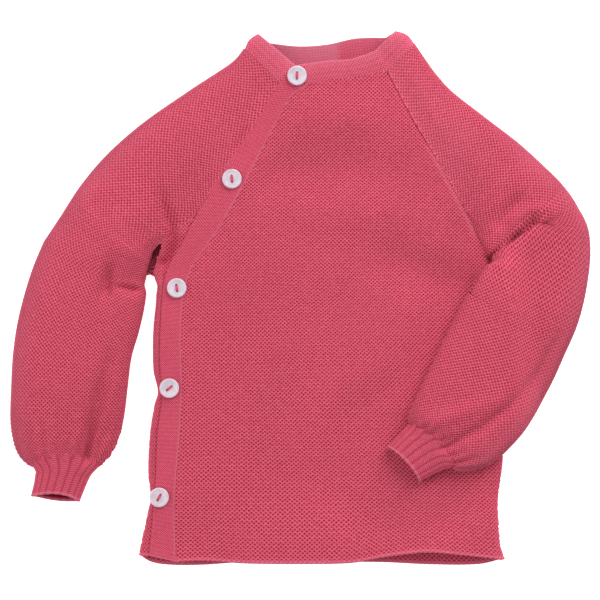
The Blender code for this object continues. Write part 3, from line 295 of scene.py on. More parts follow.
LEFT_SLEEVE_FOLDS = (
    Fold(((114.0, 38.0), (118.0, 48.0), (125.0, 54.4), (135.0, 58.5)), 3.1, 5.0, 4.6, 0.3, 0.5),
    Fold(((117.5, 36.0), (124.5, 45.5), (133.5, 51.6), (144.5, 52.4), (148.5, 45.0)),
         -1.7, 3.4, 3.0, 0.3, 0.3),
    Fold(((80.0, -89.0), (88.5, -86.0), (105.9, -76.6), (123.1, -63.6), (140.3, -45.0),
          (152.0, -23.5), (156.5, -9.0)), 1.2, 5.0, 22.0, 0.1, 0.5),
    Fold(((78.0, -87.0), (86.5, -84.0), (104.0, -75.0), (121.6, -61.8), (138.5, -43.0),
          (150.5, -21.5), (155.0, -8.0)), 2.2, 3.0, 3.6, 0.1, 0.5),
    Fold(((71.0, -74.5), (82.2, -70.0), (99.6, -64.0), (117.0, -56.5)), -1.8, 4.5, 4.5,
         0.15, 0.6),
)
SLIT_HALF_WIDTH = 2.0       # the right armpit's slit opens between these heights y
SLIT_LOW = 2.0
SLIT_FULL = 9.0
SLIT_HIGH = 33.0
SLIT_CLOSING = 5.0          # and closes over this height

# The bent sleeve's elbow: where its rows end at the crease, and how deep the crease is
ElbowRow = namedtuple("ElbowRow", "level inner")
ELBOW_ROWS = (
    ElbowRow(0.62, (97.4, 3.4)), ElbowRow(0.67, (103.0, 12.6)), ElbowRow(0.72, (109.2, 23.4)),
    ElbowRow(0.78, (122.5, 32.8)), ElbowRow(0.84, (137.0, 42.6)), ElbowRow(0.90, (140.0, 43.6)),
    ElbowRow(0.955, (140.2, 43.0)), ElbowRow(0.975, (129.0, 35.9)), ElbowRow(1.0, (109.6, 24.1)),
)
CREASE_TURN_LEVEL = 0.87        # rows above it come from the upper arm, under the lip
CREASE_FROM = (109.6, 24.1)
CREASE_TO = (139.0, 44.0)
CreaseDepth = namedtuple("CreaseDepth", "along depth")
CREASE_DEPTHS = (
    CreaseDepth(0.0, -0.9), CreaseDepth(0.14, -0.2), CreaseDepth(0.34, 1.6),
    CreaseDepth(0.44, 5.2), CreaseDepth(0.56, 5.2), CreaseDepth(0.7, 3.8),
    CreaseDepth(0.9, 4.0), CreaseDepth(1.0, 1.6),
)
LIP_WIDTH = 4.5         # the forearm's rounded lip
LIP_SHARE = 0.2         # it lies this share of the depth lower at its edge
VALLEY_WIDTH = 6.2      # the upper arm's cloth dives under it over this width
ROLL_HEIGHT = 0.7       # and swells beyond
ROLL_DISTANCE = 11.0
ROLL_WIDTH = 5.5
CREASE_TIP_FADE = 1.8   # the crease fades out over about this width past its tip
CREASE_CALM = 6.0       # the stitches are smoothed this far round the tip
ELBOW_FORM_LEVELS = (0.5, 1.35)         # ends of the smooth form that the rows are laid on

# How much further up the outer fold a row ends than it starts, in levels
Swing = namedtuple("Swing", "level ahead")
RIGHT_SWING = (
    Swing(-1.0, 0.0), Swing(0.1, 0.0), Swing(0.3, 0.035), Swing(0.7, 0.07), Swing(1.0, 0.10),
    Swing(1.5, 0.125), Swing(1.8, 0.07), Swing(2.0, 0.0), Swing(3.0, 0.0),
)
LEFT_SWING = (
    Swing(-1.0, 0.0), Swing(1.0, 0.0), Swing(1.25, 0.045), Swing(1.5, 0.07),
    Swing(1.8, 0.04), Swing(2.0, 0.0), Swing(3.0, 0.0),
)

# ---------------------------------------------------------------- sizes of the knitting

STITCH_WIDTH = 2.35
STITCH_HEIGHT = 2.3
RELIEF = 0.30           # loops above and gaps below the cloth's middle
PANEL_WALL = 1.6
FINE_WALL = 1.3
PANEL_MERGE = 0.24      # points nearer than this become one
SLEEVE_MERGE = 0.2
CUFF_MERGE = 0.05
BAND_MERGE = 0.02
SLIVER_AREA = 1e-12     # faces smaller than this, in square metres, are left out
DRIFT = 0.9             # stitches of the body wander this far from their lines
DRIFT_ACROSS = (11, 80.0)       # seed and size of the waves that carry them
DRIFT_UP = (12, 90.0)
HEM_MARGIN = 0.5        # a panel's rows start this far below its hem
HEM_FADE = 45.0         # and have straightened this far above that
FAN_X = -46.0           # the wales fan out from this line towards the hem
FAN_SPREAD = 0.2
FAN_TOP = 30.0
FAN_LENGTH = 190.0
RowHeight = namedtuple("RowHeight", "y height")
ROW_HEIGHTS = (
    RowHeight(-155.0, 2.45), RowHeight(-105.0, 2.35), RowHeight(-40.0, 2.22),
    RowHeight(0.0, 2.05), RowHeight(35.0, 2.16), RowHeight(70.0, 2.0), RowHeight(145.0, 2.25),
)

# Under front
UNDER_SEAM_LAP = 0.4    # it runs this far past the slit's end
UNDER_SLEEVE_LAP = 2.6  # and further under the sleeve above it
UNDER_RAGLAN_FALL = 30.0        # its side fold has flattened out this far above the armpit
PAINTED_STRIP_LIGHT = 0.35       # its strip beside the band is painted paler: painted light on the fold's shaded side
STRIP_RISE = 0.6        # and rises towards the band's edge
STRIP_LIP = 0.9
SLIT_DEEPER = 0.75      # the folds low in the armpit's slit are deeper by this share

# The front's right raglan
CORD_INSET = 1.6        # its cord lies this far inside the seam
CORD_WIDTH = 0.9
CORD_TONE = 0.9
CORD_HEIGHT = 0.5
CORD_FROM = 34.0        # between these heights y
CORD_TO = 92.0
SEAM_GROOVE = 1.0       # further up the seam is a groove
SEAM_GROOVE_FROM = 84.0
ARMPIT_CORNER = 3.2     # the front's corner reaches this far into the bent sleeve's armpit
FRONT_SWELL = 0.35

# Sleeves and cuffs
CUT_START = 1.02        # above this level the raglans cut the wales off
CUT_LENGTH = 0.25
CUT_CORD_WIDTH = 0.8    # of the pale cord along the cut edge
SHEEN_STRIP_WIDTH = 20.0     # painted sheen: a greyer strip along a sleeve's outer fold, where fine hairs catch the light
CUFF_RISE = 5           # the cuff reaches this many half rows up in the middle of its front
CUFF_RISE_FADE = 14     # and the sleeve's rows have levelled out this many above its edge
GATHERS = 18            # round a sleeve above its cuff
GATHER_TOP = 0.208      # they end at this level
GATHER_HEIGHT = 0.9
SLEEVE_SWELL = 0.5
UNDERSIDE_RELIEF = 0.5  # stitches are pressed flatter below
FOLD_RELIEF = 1.2       # and stand higher by this share along the outer fold
CUFF_SEAM_TUCK = 0.4    # the first rows are drawn in at the cuff's seam
RIBS = 20               # round a cuff
RIB_HEIGHT = 0.24
POINTS_PER_RIB = 6
CUFF_ROWS = 50
CUFF_ROW_HEIGHT = 0.4
CUFF_UNDER_SLEEVE = 0.9         # the cuff's top dives this far under the sleeve
CUFF_SINK = 0.2         # the ribs start this far below the cuff's form
CUFF_FLATTER = 0.8      # and are flatter by this share on the underside
CUFF_EDGE_HEIGHT = 0.3
CUFF_EDGE_TONE = 0.8    # a pale edge
CUFF_TONE = -0.12       # on a slightly darker cuff

# Button band and neckband
PLACKET_COLUMNS = 22
PLACKET_ROW_HEIGHT = 0.62
PLACKET_RELIEF = 0.12
PLACKET_WALL = 1.8
PLACKET_WIDER = 1.02    # it runs past the front's edge by this share of its width
TURNED_DOWN = 0.5       # its outer edge dips this far beside the under front
NECKBAND_ROWS = 16
NECKBAND_START = 1.99   # its first row lies just below the neck seam
NECKBAND_CROWN = 0.7    # it stands up in the middle, but not at the back
BAND_RIB = 1.7          # between the neckband's ribs
BACK_FROM = 240         # its points between these lie along the back
BACK_LIT_FROM = 345     # and beyond this one it is painted paler, painted light where light reaches the back neck
BACK_TO = 500
BACK_RIBBED = 0.6       # share of the ribs there; the rest is fine and plain
BandEdge = namedtuple("BandEdge", "cord_at cord_width cord_height drop drop_width")
PLACKET_EDGE = BandEdge(0.05, 0.03, 0.16, 0.25, 0.025)
NECKBAND_EDGE = BandEdge(0.08, 0.05, 0.10, 0.20, 0.04)

# Where the edges of the button band and the under front turn onto the raglan
PLACKET_LEFT_BEND_Y = 18.6
PLACKET_RIGHT_BEND_Y = 22.0
UNDER_RIGHT_BEND_Y = LEFT_FOLD[-1].y
LEFT_ARMPIT_Y = LEFT_FOLD[-1].y
RIGHT_ARMPIT_Y = RIGHT_FOLD[-1].y

FLAT_BOW = (Bow(0.0, 0.0), Bow(1.0, 0.0))


# ---------------------------------------------------------------- curves and heights

def smooth_value(knots, values, at):
    """Values of the smooth curve through a table's rows, at many places at once."""
    knots = np.asarray(knots, float)
    values = np.asarray(values, float)
    at = np.clip(np.asarray(at, float), knots[0], knots[-1])
    k = np.clip(np.searchsorted(knots, at, side="right") - 1, 0, len(knots) - 2)
    low = np.maximum(np.arange(len(knots)) - 1, 0)
    high = np.minimum(np.arange(len(knots)) + 1, len(knots) - 1)
    spans = knots[high] - knots[low]
    if values.ndim == 2:
        spans = spans[:, None]
    slopes = (values[high] - values[low]) / spans
    width = np.asarray(knots[k + 1] - knots[k])
    t = np.asarray((at - knots[k]) / width)
    if values.ndim == 2:
        width = width[..., None]
        t = t[..., None]
    return (values[k] * (1 + 2 * t) * (1 - t) ** 2 + slopes[k] * width * t * (1 - t) ** 2
            + values[k + 1] * t * t * (3 - 2 * t) + slopes[k + 1] * width * t * t * (t - 1))


def table_value(table, at):
    """Look a two-column table up between its rows."""
    return smooth_value([row[0] for row in table], [row[1] for row in table], at)


def column(rows, name, level):
    """One column of a sleeve's table, read as a smooth curve."""
    return smooth_value([row.level for row in rows], [getattr(row, name) for row in rows], level)


def along(points, share):
    """Points at shares of a smooth line's length."""
    points = np.asarray(points, float)
    knots = lengths(points)
    return smooth_value(knots, points, np.asarray(share) * knots[-1])


def lengths(points):
    """Distance along a line of points, from its start to each of them."""
    steps = np.linalg.norm(np.diff(points, axis=0), axis=-1)
    return np.concatenate([np.zeros((1, *steps.shape[1:])), np.cumsum(steps, axis=0)])


def ease(t):
    """Smooth step from 0 to 1."""
    t = np.clip(t, 0.0, 1.0)
    return t * t * (3 - 2 * t)


def hump(distance, width, power=2):
    """A bell: 1 at distance 0, almost 0 at twice the width."""
    return np.exp(-(distance / width) ** power)


def blend(a, b, share):
    return a + (b - a) * share


def fold_drop(distance, rounding):
    """Quarter circle: 1 at a fold's edge, 0 from its rounding inwards."""
    t = np.clip(np.asarray(distance, float) / rounding, 0.0, 1.0)
    return 1 - np.sqrt(np.maximum(1 - (1 - t) ** 2, 0.0))


def distance_to_line(x, y, points):
    """Distance from places to a line of points."""
    place = np.stack(np.broadcast_arrays(x, y), axis=-1).astype(float)
    nearest = np.full(place.shape[:-1], np.inf)
    for a, b in zip(points, points[1:]):
        a = np.array(a)
        step = np.array(b) - a
        share = np.clip(((place - a) @ step) / (step @ step), 0.0, 1.0)
        gap = np.linalg.norm(place - a - share[..., None] * step, axis=-1)
        nearest = np.minimum(nearest, gap)
    return nearest


def loose_top(x, y):
    """Top of the front away from its edges: lower where the bent sleeve presses it."""
    away = distance_to_line(x, y, FOREARM_LINE) - PRESS_REACH
    return blend(PRESSED_HEIGHT, FRONT_HEIGHT, ease(away / PRESS_FADE))


def two_tables(lower, upper, y):
    """A panel's edge: the side fold below the armpit, the raglan above it."""
    return np.where(y < lower[-1].y, table_value(lower, y), table_value(upper, y))


def left_edge(y):
    return two_tables(LEFT_FOLD, LEFT_RAGLAN, y)


def right_edge(y):
    return two_tables(RIGHT_FOLD, RIGHT_RAGLAN, y)


def left_seam_height(y):
    return np.where(y < LEFT_ARMPIT_Y, LEFT_ARMPIT_HEIGHT, table_value(LEFT_RAGLAN_HEIGHTS, y))


def right_seam_height(y):
    rise = ease((y - RIGHT_ARMPIT_Y) / RAGLAN_RISE)
    lifted = RIGHT_ARMPIT_HEIGHT + ARMPIT_LIFT * ease((y - RIGHT_ARMPIT_Y) / ARMPIT_LIFT_RISE)
    above = blend(lifted, loose_top(right_edge(y), y) - RAGLAN_DIP, rise)
    return np.where(y < RIGHT_ARMPIT_Y, table_value(RIGHT_SIDE_HEIGHTS, y), above)


def left_drop(x, y):
    """How far the front has dropped at its left fold; 1 at the fold's edge."""
    return fold_drop(x - left_edge(y), LEFT_FOLD_ROUNDING) ** LEFT_FOLD_POWER


def front_height(x, y):
    """Outer face of the front and its band."""
    top = loose_top(x, y)
    under = top - WALL - LAYER_GAP
    left = (under - left_seam_height(y)) * left_drop(x, y)
    right = (top - right_seam_height(y)) * fold_drop(right_edge(y) - x, RIGHT_FOLD_ROUNDING)
    return top - left - right


def back_left_height(y):
    return LEFT_ARMPIT_HEIGHT * (1 - ease((y - LEFT_ARMPIT_Y) / BACK_RAGLAN_FALL))


def back_right_height(y):
    above = RIGHT_ARMPIT_HEIGHT * (1 - ease((y - RIGHT_ARMPIT_Y) / BACK_RAGLAN_FALL))
    return np.where(y < RIGHT_ARMPIT_Y, table_value(RIGHT_SIDE_HEIGHTS, y), above)


def front_floor(x, y):
    """What the bent sleeve lies on: the front, sinking to the table past its edge."""
    edge = table_value(RIGHT_FOLD, np.minimum(y, RIGHT_ARMPIT_Y)) + LIFT_OVERHANG
    return (1 - ease((x - edge) / LIFT_FADE)) * (loose_top(x, y) + LYING_GAP)


def table_floor(x, y):
    return np.zeros(np.shape(x))


def band_edge(table, bend_y, end, level):
    """Edge of the front, the under front or the band, by level, on into the neckband."""
    level = np.asarray(level, float)
    lower_y = blend(table[0].y, bend_y, np.minimum(level, 1))
    y = np.where(level <= 1, lower_y, blend(bend_y, table[-1].y, np.clip(level - 1, 0, 1)))
    x = table_value(table, y)
    return into_neckband(x, y, end, level)


def into_neckband(x, y, end, level):
    """An edge's points, which move to its end in the neckband above level 2."""
    past = np.clip(level - 2, 0, 1)
    return np.stack([blend(x, end[0], past), blend(y, end[1], past)], axis=-1)


def side_edge(lower, upper, end, level):
    """Edge of a panel that has a side fold and a raglan, by level."""
    level = np.asarray(level, float)
    low_y = blend(lower[0].y, lower[-1].y, np.minimum(level, 1))
    high_y = blend(lower[-1].y, upper[-1].y, np.clip(level - 1, 0, 1))
    y = np.where(level <= 1, low_y, high_y)
    x = np.where(level <= 1, table_value(lower, low_y), table_value(upper, high_y))
    return into_neckband(x, y, end, level)


def slit_gap(y):
    """Half the width of the slit at the right armpit."""
    opening = ease((y - SLIT_LOW) / (SLIT_FULL - SLIT_LOW))
    return SLIT_HALF_WIDTH * opening * ease((SLIT_HIGH - y) / SLIT_CLOSING)


def fold_depth(x, y, folds):
    """Depth of the listed folds at places of a piece; ridges are negative."""
    total = np.zeros(np.shape(x))
    for fold in folds:
        points = np.array(fold.points, float)
        steps = np.linalg.norm(np.diff(points, axis=0), axis=1)
        before = np.concatenate([[0.0], np.cumsum(steps)])
        place = np.stack(np.broadcast_arrays(x, y), axis=-1).astype(float)
        nearest = np.full(place.shape[:-1], np.inf)
        reached = np.zeros(place.shape[:-1])
        width = np.full(place.shape[:-1], fold.width)
        for k, step in enumerate(np.diff(points, axis=0)):
            offset = place - points[k]
            share = np.clip((offset @ step) / (step @ step), 0.0, 1.0)
            away = np.linalg.norm(offset - share[..., None] * step, axis=-1)
            on_right = offset[..., 0] * step[1] > offset[..., 1] * step[0]
            closer = away < nearest
            nearest = np.where(closer, away, nearest)
            reached = np.where(closer, before[k] + share * steps[k], reached)
            width = np.where(closer, np.where(on_right, fold.right_width, fold.width), width)
        t = reached / before[-1]
        taper = ease(0.25 + t / fold.start_taper) * ease(0.25 + (1 - t) / fold.end_taper)
        total = total + fold.depth * hump(nearest, width) * taper
    return total


def soft_waves(x, y, seed, size):
    """Slow uneven swells, from a few crossed waves; between -1 and 1."""
    random = np.random.default_rng(seed)
    total = np.zeros(np.shape(x))
    for _ in range(5):
        angle = random.uniform(0, math.tau)
        pitch = size * random.uniform(0.7, 1.6)
        phase = random.uniform(0, math.tau)
        total = total + np.sin((x * math.cos(angle) + y * math.sin(angle)) * math.tau / pitch
                               + phase)
    return total / 3.2


# ---------------------------------------------------------------- making the cloth

def knitted_sheet(name, columns, rows, place, relief, tone, wall=PANEL_WALL,
                  merge=PANEL_MERGE, ribbed=None, inside_out=False):
    """A sheet of cloth on a grid of columns and rows, joined where points coincide.

    place(i, j) gives each point's x, y, z and stitch coordinates u, v, in millimetres and
    stitches. relief(i, j, u, v) raises it along the cloth's normal. tone(i, j, u, v) is
    above 0 where the wool is paler, 1 on edge cords, with painted light on a strip, a shoulder
    and the back neckband; below 0 a sleeve is greyer along its outer fold, painted sheen, and a
    cuff is darker, with painted shade in its mouth. ribbed(i, j) is 1 where fine knitting is
    ribbed.
    """
    sheet = bmesh.new()
    bmesh.ops.create_grid(sheet, x_segments=columns, y_segments=rows, size=0.5)
    if inside_out:
        bmesh.ops.reverse_faces(sheet, faces=sheet.faces[:])
    mesh = bpy.data.meshes.new(name)
    sheet.to_mesh(mesh)
    sheet.free()
    flat = np.empty(len(mesh.vertices) * 3)
    mesh.vertices.foreach_get("co", flat)
    flat = flat.reshape(-1, 3)
    i = np.rint((flat[:, 0] + 0.5) * columns)
    j = np.rint((flat[:, 1] + 0.5) * rows)
    x, y, z, u, v = place(i, j)
    points = np.stack(np.broadcast_arrays(x, y, z), axis=-1) * MM
    mesh.vertices.foreach_set("co", points.ravel())
    corner = np.empty(len(mesh.loops), dtype=np.int32)
    mesh.loops.foreach_get("vertex_index", corner)
    stitches = mesh.uv_layers.new(name="stitches")
    stitches.data.foreach_set("uv", np.stack([u[corner], v[corner]], axis=-1).ravel())
    for label, values in (("i", i), ("j", j), ("u", u), ("v", v)):
        add_values(mesh, label, values)
    sheet = bmesh.new()
    sheet.from_mesh(mesh)
    bmesh.ops.remove_doubles(sheet, verts=sheet.verts[:], dist=merge * MM)
    slivers = [face for face in sheet.faces if face.calc_area() < SLIVER_AREA]
    bmesh.ops.delete(sheet, geom=slivers, context="FACES_ONLY")
    bmesh.ops.delete(sheet, geom=[v for v in sheet.verts if not v.link_faces], context="VERTS")
    sheet.to_mesh(mesh)
    sheet.free()
    i, j, u, v = (read_and_drop(mesh, label) for label in "ijuv")
    add_values(mesh, "tone", tone(i, j, u, v))
    add_values(mesh, "ribbed", ribbed(i, j) if ribbed else 0.0)
    points = np.empty(len(i) * 3)
    normals = np.empty(len(i) * 3)
    mesh.vertices.foreach_get("co", points)
    mesh.vertex_normals.foreach_get("vector", normals)
    raised = np.repeat(relief(i, j, u, v) * MM, 3)
    mesh.vertices.foreach_set("co", points + normals * raised)
    mesh.update()
    mesh.shade_smooth()
    piece = bpy.data.objects.new(name, mesh)
    bpy.context.scene.collection.objects.link(piece)
    thickness = piece.modifiers.new("wall", "SOLIDIFY")
    thickness.thickness = wall * MM
    thickness.offset = -1.0
    return piece


def add_values(mesh, label, values):
    """Keep one number for each point of a mesh."""
    kept = mesh.attributes.new(label, "FLOAT", "POINT")
    kept.data.foreach_set("value", np.asarray(values, float) + np.zeros(len(mesh.vertices)))


def read_and_drop(mesh, label):
    """Values of a point attribute that only the laying out needed."""
    values = np.empty(len(mesh.vertices))
    mesh.attributes[label].data.foreach_get("value", values)
    mesh.attributes.remove(mesh.attributes[label])
    return values


def nearest(values):
    """Whole rows or columns for values that a mesh has rounded."""
    return np.rint(values).astype(int)


def first_row(j):
    """1 on the stitches along a sheet's lower edge, 0 above them."""
    return np.where(j < 1.5, 1.0, 0.0)


def stitch_relief(height):
    """Loops at the crossings of the stitch pattern, gaps between them."""
    def relief(i, j, u, v):
        return height * np.cos(math.tau * u) * np.cos(math.tau * v)
    return relief


# ---------------------------------------------------------------- body panels

def folded(x, left, right, left_rounding, right_rounding):
    """Carry columns round the side folds: past a fold's start they turn down its side."""
    bent = x
    for way, edge, rounding in ((1, right, right_rounding), (-1, left, left_rounding)):
        reach = edge + way * rounding * (math.pi / 2 - 1)
        turn = way * (reach - x) / np.maximum(rounding, LEAST_ROUNDING)
        on_side = edge - way * rounding * (1 - np.cos(np.clip(turn, 0, math.pi / 2)))
        turned = (way * (x - edge) > -rounding) & (rounding > LEAST_ROUNDING)
        bent = np.where(turned, on_side, bent)
    return bent


def hem_line(x, left_corner, right_corner, bow):
    """Height y of a hem below each x."""
    share = np.clip((x - left_corner[0]) / (right_corner[0] - left_corner[0]), 0, 1)
    return blend(left_corner[1], right_corner[1], share) + table_value(bow, share)


def body_sheet(name, x_range, top_y, edges, height, corners, neck, hem_bow, neck_bow,
               roundings, lift=0.0, inside_out=False, seam_tone=None):
    """A panel knitted in level rows and cut to its outline.

    corners are the ends of its hem and neck the ends of its neck edge, left first.
    roundings(y) gives the radius of either side fold.
    """
    low_x = FAN_X + (x_range[0] - FAN_X) / (1 + FAN_SPREAD * (x_range[0] > FAN_X))
    half_width = STITCH_WIDTH / 2
    columns = int(math.ceil((x_range[1] - low_x) / half_width))
    base = min(corners[0][1], corners[1][1]) - HEM_MARGIN
    heights = [base]
    while heights[-1] < top_y:
        heights.append(heights[-1] + float(table_value(ROW_HEIGHTS, heights[-1])) / 2)
    heights = np.array(heights)
    rows = len(heights) - 1

    def row_height(x, level_y):
        hem = hem_line(x, corners[0], corners[1], hem_bow)
        fade = 1 - ease((level_y - base) / HEM_FADE)
        free = np.maximum(level_y + (hem - base) * fade, hem)
        return free, np.minimum(free, hem_line(x, neck[0], neck[1], neck_bow))

    def place(i, j):
        level_y = heights[j.astype(int)]
        spread = 1 + FAN_SPREAD * ease((FAN_TOP - level_y) / FAN_LENGTH)

        def wales_before(x):
            drift = DRIFT * soft_waves(x, level_y, *DRIFT_ACROSS)
            return (x - drift) / (spread * STITCH_WIDTH)

        straight = FAN_X + (low_x + i * half_width - FAN_X) * spread
        straight = straight + DRIFT * soft_waves(straight, level_y, *DRIFT_ACROSS)
        _, y = row_height(straight, level_y)
        left, right = edges(y)
        bent = folded(straight, left, right, *roundings(y))
        x = np.clip(bent, left, right)
        drift = DRIFT * soft_waves(x, level_y, *DRIFT_UP)
        calm_ends = ease(j / 30) * ease((top_y - 8 - level_y) / 20)
        drifted_y = level_y + drift * calm_ends
        free, y = row_height(x, drifted_y)
        new_left, new_right = edges(y)
        x = np.where(bent >= right, new_right, np.clip(x, new_left, new_right))
        x = np.where(bent <= left, new_left, x)
        z = height(x, y) + lift
        u = i / 2 + wales_before(x) - wales_before(bent)
        return x, y, z, u, j / 2 + (y - free) / STITCH_HEIGHT

    def tone(i, j, u, v):
        if seam_tone is None:
            return first_row(j)
        return first_row(j) + seam_tone(low_x + i * half_width, heights[nearest(j)])

    return knitted_sheet(name, columns, rows, place, stitch_relief(RELIEF), tone,
                         inside_out=inside_out)


def fold_above(rounding, armpit_y, length):
    """A side fold's rounding, which flattens out above the armpit."""
    def at(y):
        return rounding * (1 - ease((y - armpit_y) / length))
    return at


def no_fold(y):
    return np.zeros(np.shape(y))


def raglan_cord(x, y):
    """Pale cord along the right raglan, on its lower half."""
    beside = hump(right_edge(y) - x - CORD_INSET, CORD_WIDTH)
    return CORD_TONE * beside * ease((y - CORD_FROM) / 6) * ease((CORD_TO - y) / 14)


def painted_light_strip(x, y):
    """Painted light: the under front's strip beside the band, on its shaded fold, painted paler.
    """
    outside_band = table_value(PLACKET_LEFT, y) + 1 - x
    return PAINTED_STRIP_LIGHT * ease((LEFT_ARMPIT_Y - y) / 6) * ease(outside_band / 1.5)


def build_front():
    right_fold = fold_above(RIGHT_FOLD_ROUNDING, RIGHT_ARMPIT_Y, RAGLAN_RISE)

    def edges(y):
        left = table_value(PLACKET_RIGHT, y)
        closing = ARMPIT_CORNER * hump(y - RIGHT_ARMPIT_Y, 5)
        return left, right_edge(y) + np.where(y < RIGHT_ARMPIT_Y, 0.0, SEAM_LAP) + closing

    def height(x, y):
        edge_calm = ease((right_edge(y) - x) / 8) * ease((x - table_value(PLACKET_RIGHT, y)) / 20)
        away = ease((distance_to_line(x, y, FOREARM_LINE) - PRESS_REACH + 14) / 15)
        swell = FRONT_SWELL * soft_waves(x, y, 4, 70) * away - fold_depth(x, y, FRONT_FOLDS)
        swell = swell * edge_calm * ease((y + 150) / 15)
        seam = SEAM_GROOVE * hump(right_edge(y) - x, 1.3) * ease((y - SEAM_GROOVE_FROM) / 14)
        swell = swell - seam + CORD_HEIGHT * raglan_cord(x, y)
        return front_height(x, np.minimum(y, RIGHT_RAGLAN[-1].y)) + swell

    return body_sheet(
        "front_knit", x_range=(-74, 124), top_y=134.0, edges=edges, height=height,
        corners=((-71.9, -152.5), (118.9, -151.4)), neck=((3.5, 122.7), (50.5, 132.0)),
        hem_bow=FRONT_HEM_BOW, neck_bow=FRONT_NECK_BOW,
        roundings=lambda y: (no_fold(y), right_fold(y)), seam_tone=raglan_cord)


def build_under_front():
    left_fold = fold_above(LEFT_FOLD_ROUNDING, LEFT_ARMPIT_Y, UNDER_RAGLAN_FALL)

    def edges(y):
        lap = UNDER_SEAM_LAP * ease((y - 31) / 4) + UNDER_SLEEVE_LAP * ease((y - 37) / 6)
        return left_edge(y) - lap + slit_gap(y), table_value(UNDER_RIGHT, y)

    def height(x, y):
        y = np.minimum(y, LEFT_RAGLAN[-1].y)
        raised = np.where(y < LEFT_ARMPIT_Y, 0.0, sleeve_seam_height(y) - left_seam_height(y))
        raised = np.minimum(raised, UNDER_HEIGHT - left_seam_height(y))
        raised = raised * left_drop(x, y)
        folds = fold_depth(x, y, ARMPIT_FOLDS) * ease((y - LEFT_ARMPIT_Y) / 8)
        folds = folds * (1 + SLIT_DEEPER * ease((40 - y) / 14))
        outside_band = table_value(PLACKET_LEFT, y) - x
        rise = STRIP_RISE * ease((outside_band + 1.5) / 1.5) + STRIP_LIP * ease(outside_band + 1.0)
        raised = raised + rise * ease((LEFT_ARMPIT_Y - y) / 6) * (1 - left_drop(x, y))
        return front_height(x, y) - WALL - LAYER_GAP + raised - folds

    return body_sheet(
        "under_front_knit", x_range=(-101, -2), top_y=126.0, edges=edges, height=height,
        corners=((-93.6, -149.1), (-52.0, -150.0)), neck=((-12.6, 125.6), (-4.6, 118.6)),
        hem_bow=FLAT_BOW, neck_bow=FLAT_BOW,
        roundings=lambda y: (left_fold(y), no_fold(y)), seam_tone=painted_light_strip)


def build_back():
    left_fold = fold_above(LEFT_FOLD_ROUNDING, LEFT_ARMPIT_Y, BACK_RAGLAN_FALL)
    right_fold = fold_above(RIGHT_FOLD_ROUNDING, RIGHT_ARMPIT_Y, BACK_RAGLAN_FALL)

    def edges(y):
        left = two_tables(LEFT_FOLD, BACK_LEFT_RAGLAN, y) + slit_gap(y) * (y < LEFT_ARMPIT_Y)
        return left, two_tables(RIGHT_FOLD, BACK_RIGHT_RAGLAN, y)

    def height(x, y):
        left, right = edges(y)
        return (back_left_height(y) * fold_drop(x - left, LEFT_FOLD_ROUNDING)
                + back_right_height(y) * fold_drop(right - x, RIGHT_FOLD_ROUNDING))

    return body_sheet(
        "back_knit", x_range=(-101, 124), top_y=142.0, edges=edges, height=height,
        corners=((-93.6, -149.1), (118.9, -151.4)), neck=((-18.6, 138.3), (52.2, 140.7)),
        hem_bow=BACK_HEM_BOW, neck_bow=BACK_NECK_BOW, lift=RELIEF, inside_out=True,
        roundings=lambda y: (left_fold(y), right_fold(y)))


# ---------------------------------------------------------------- sleeves and bands

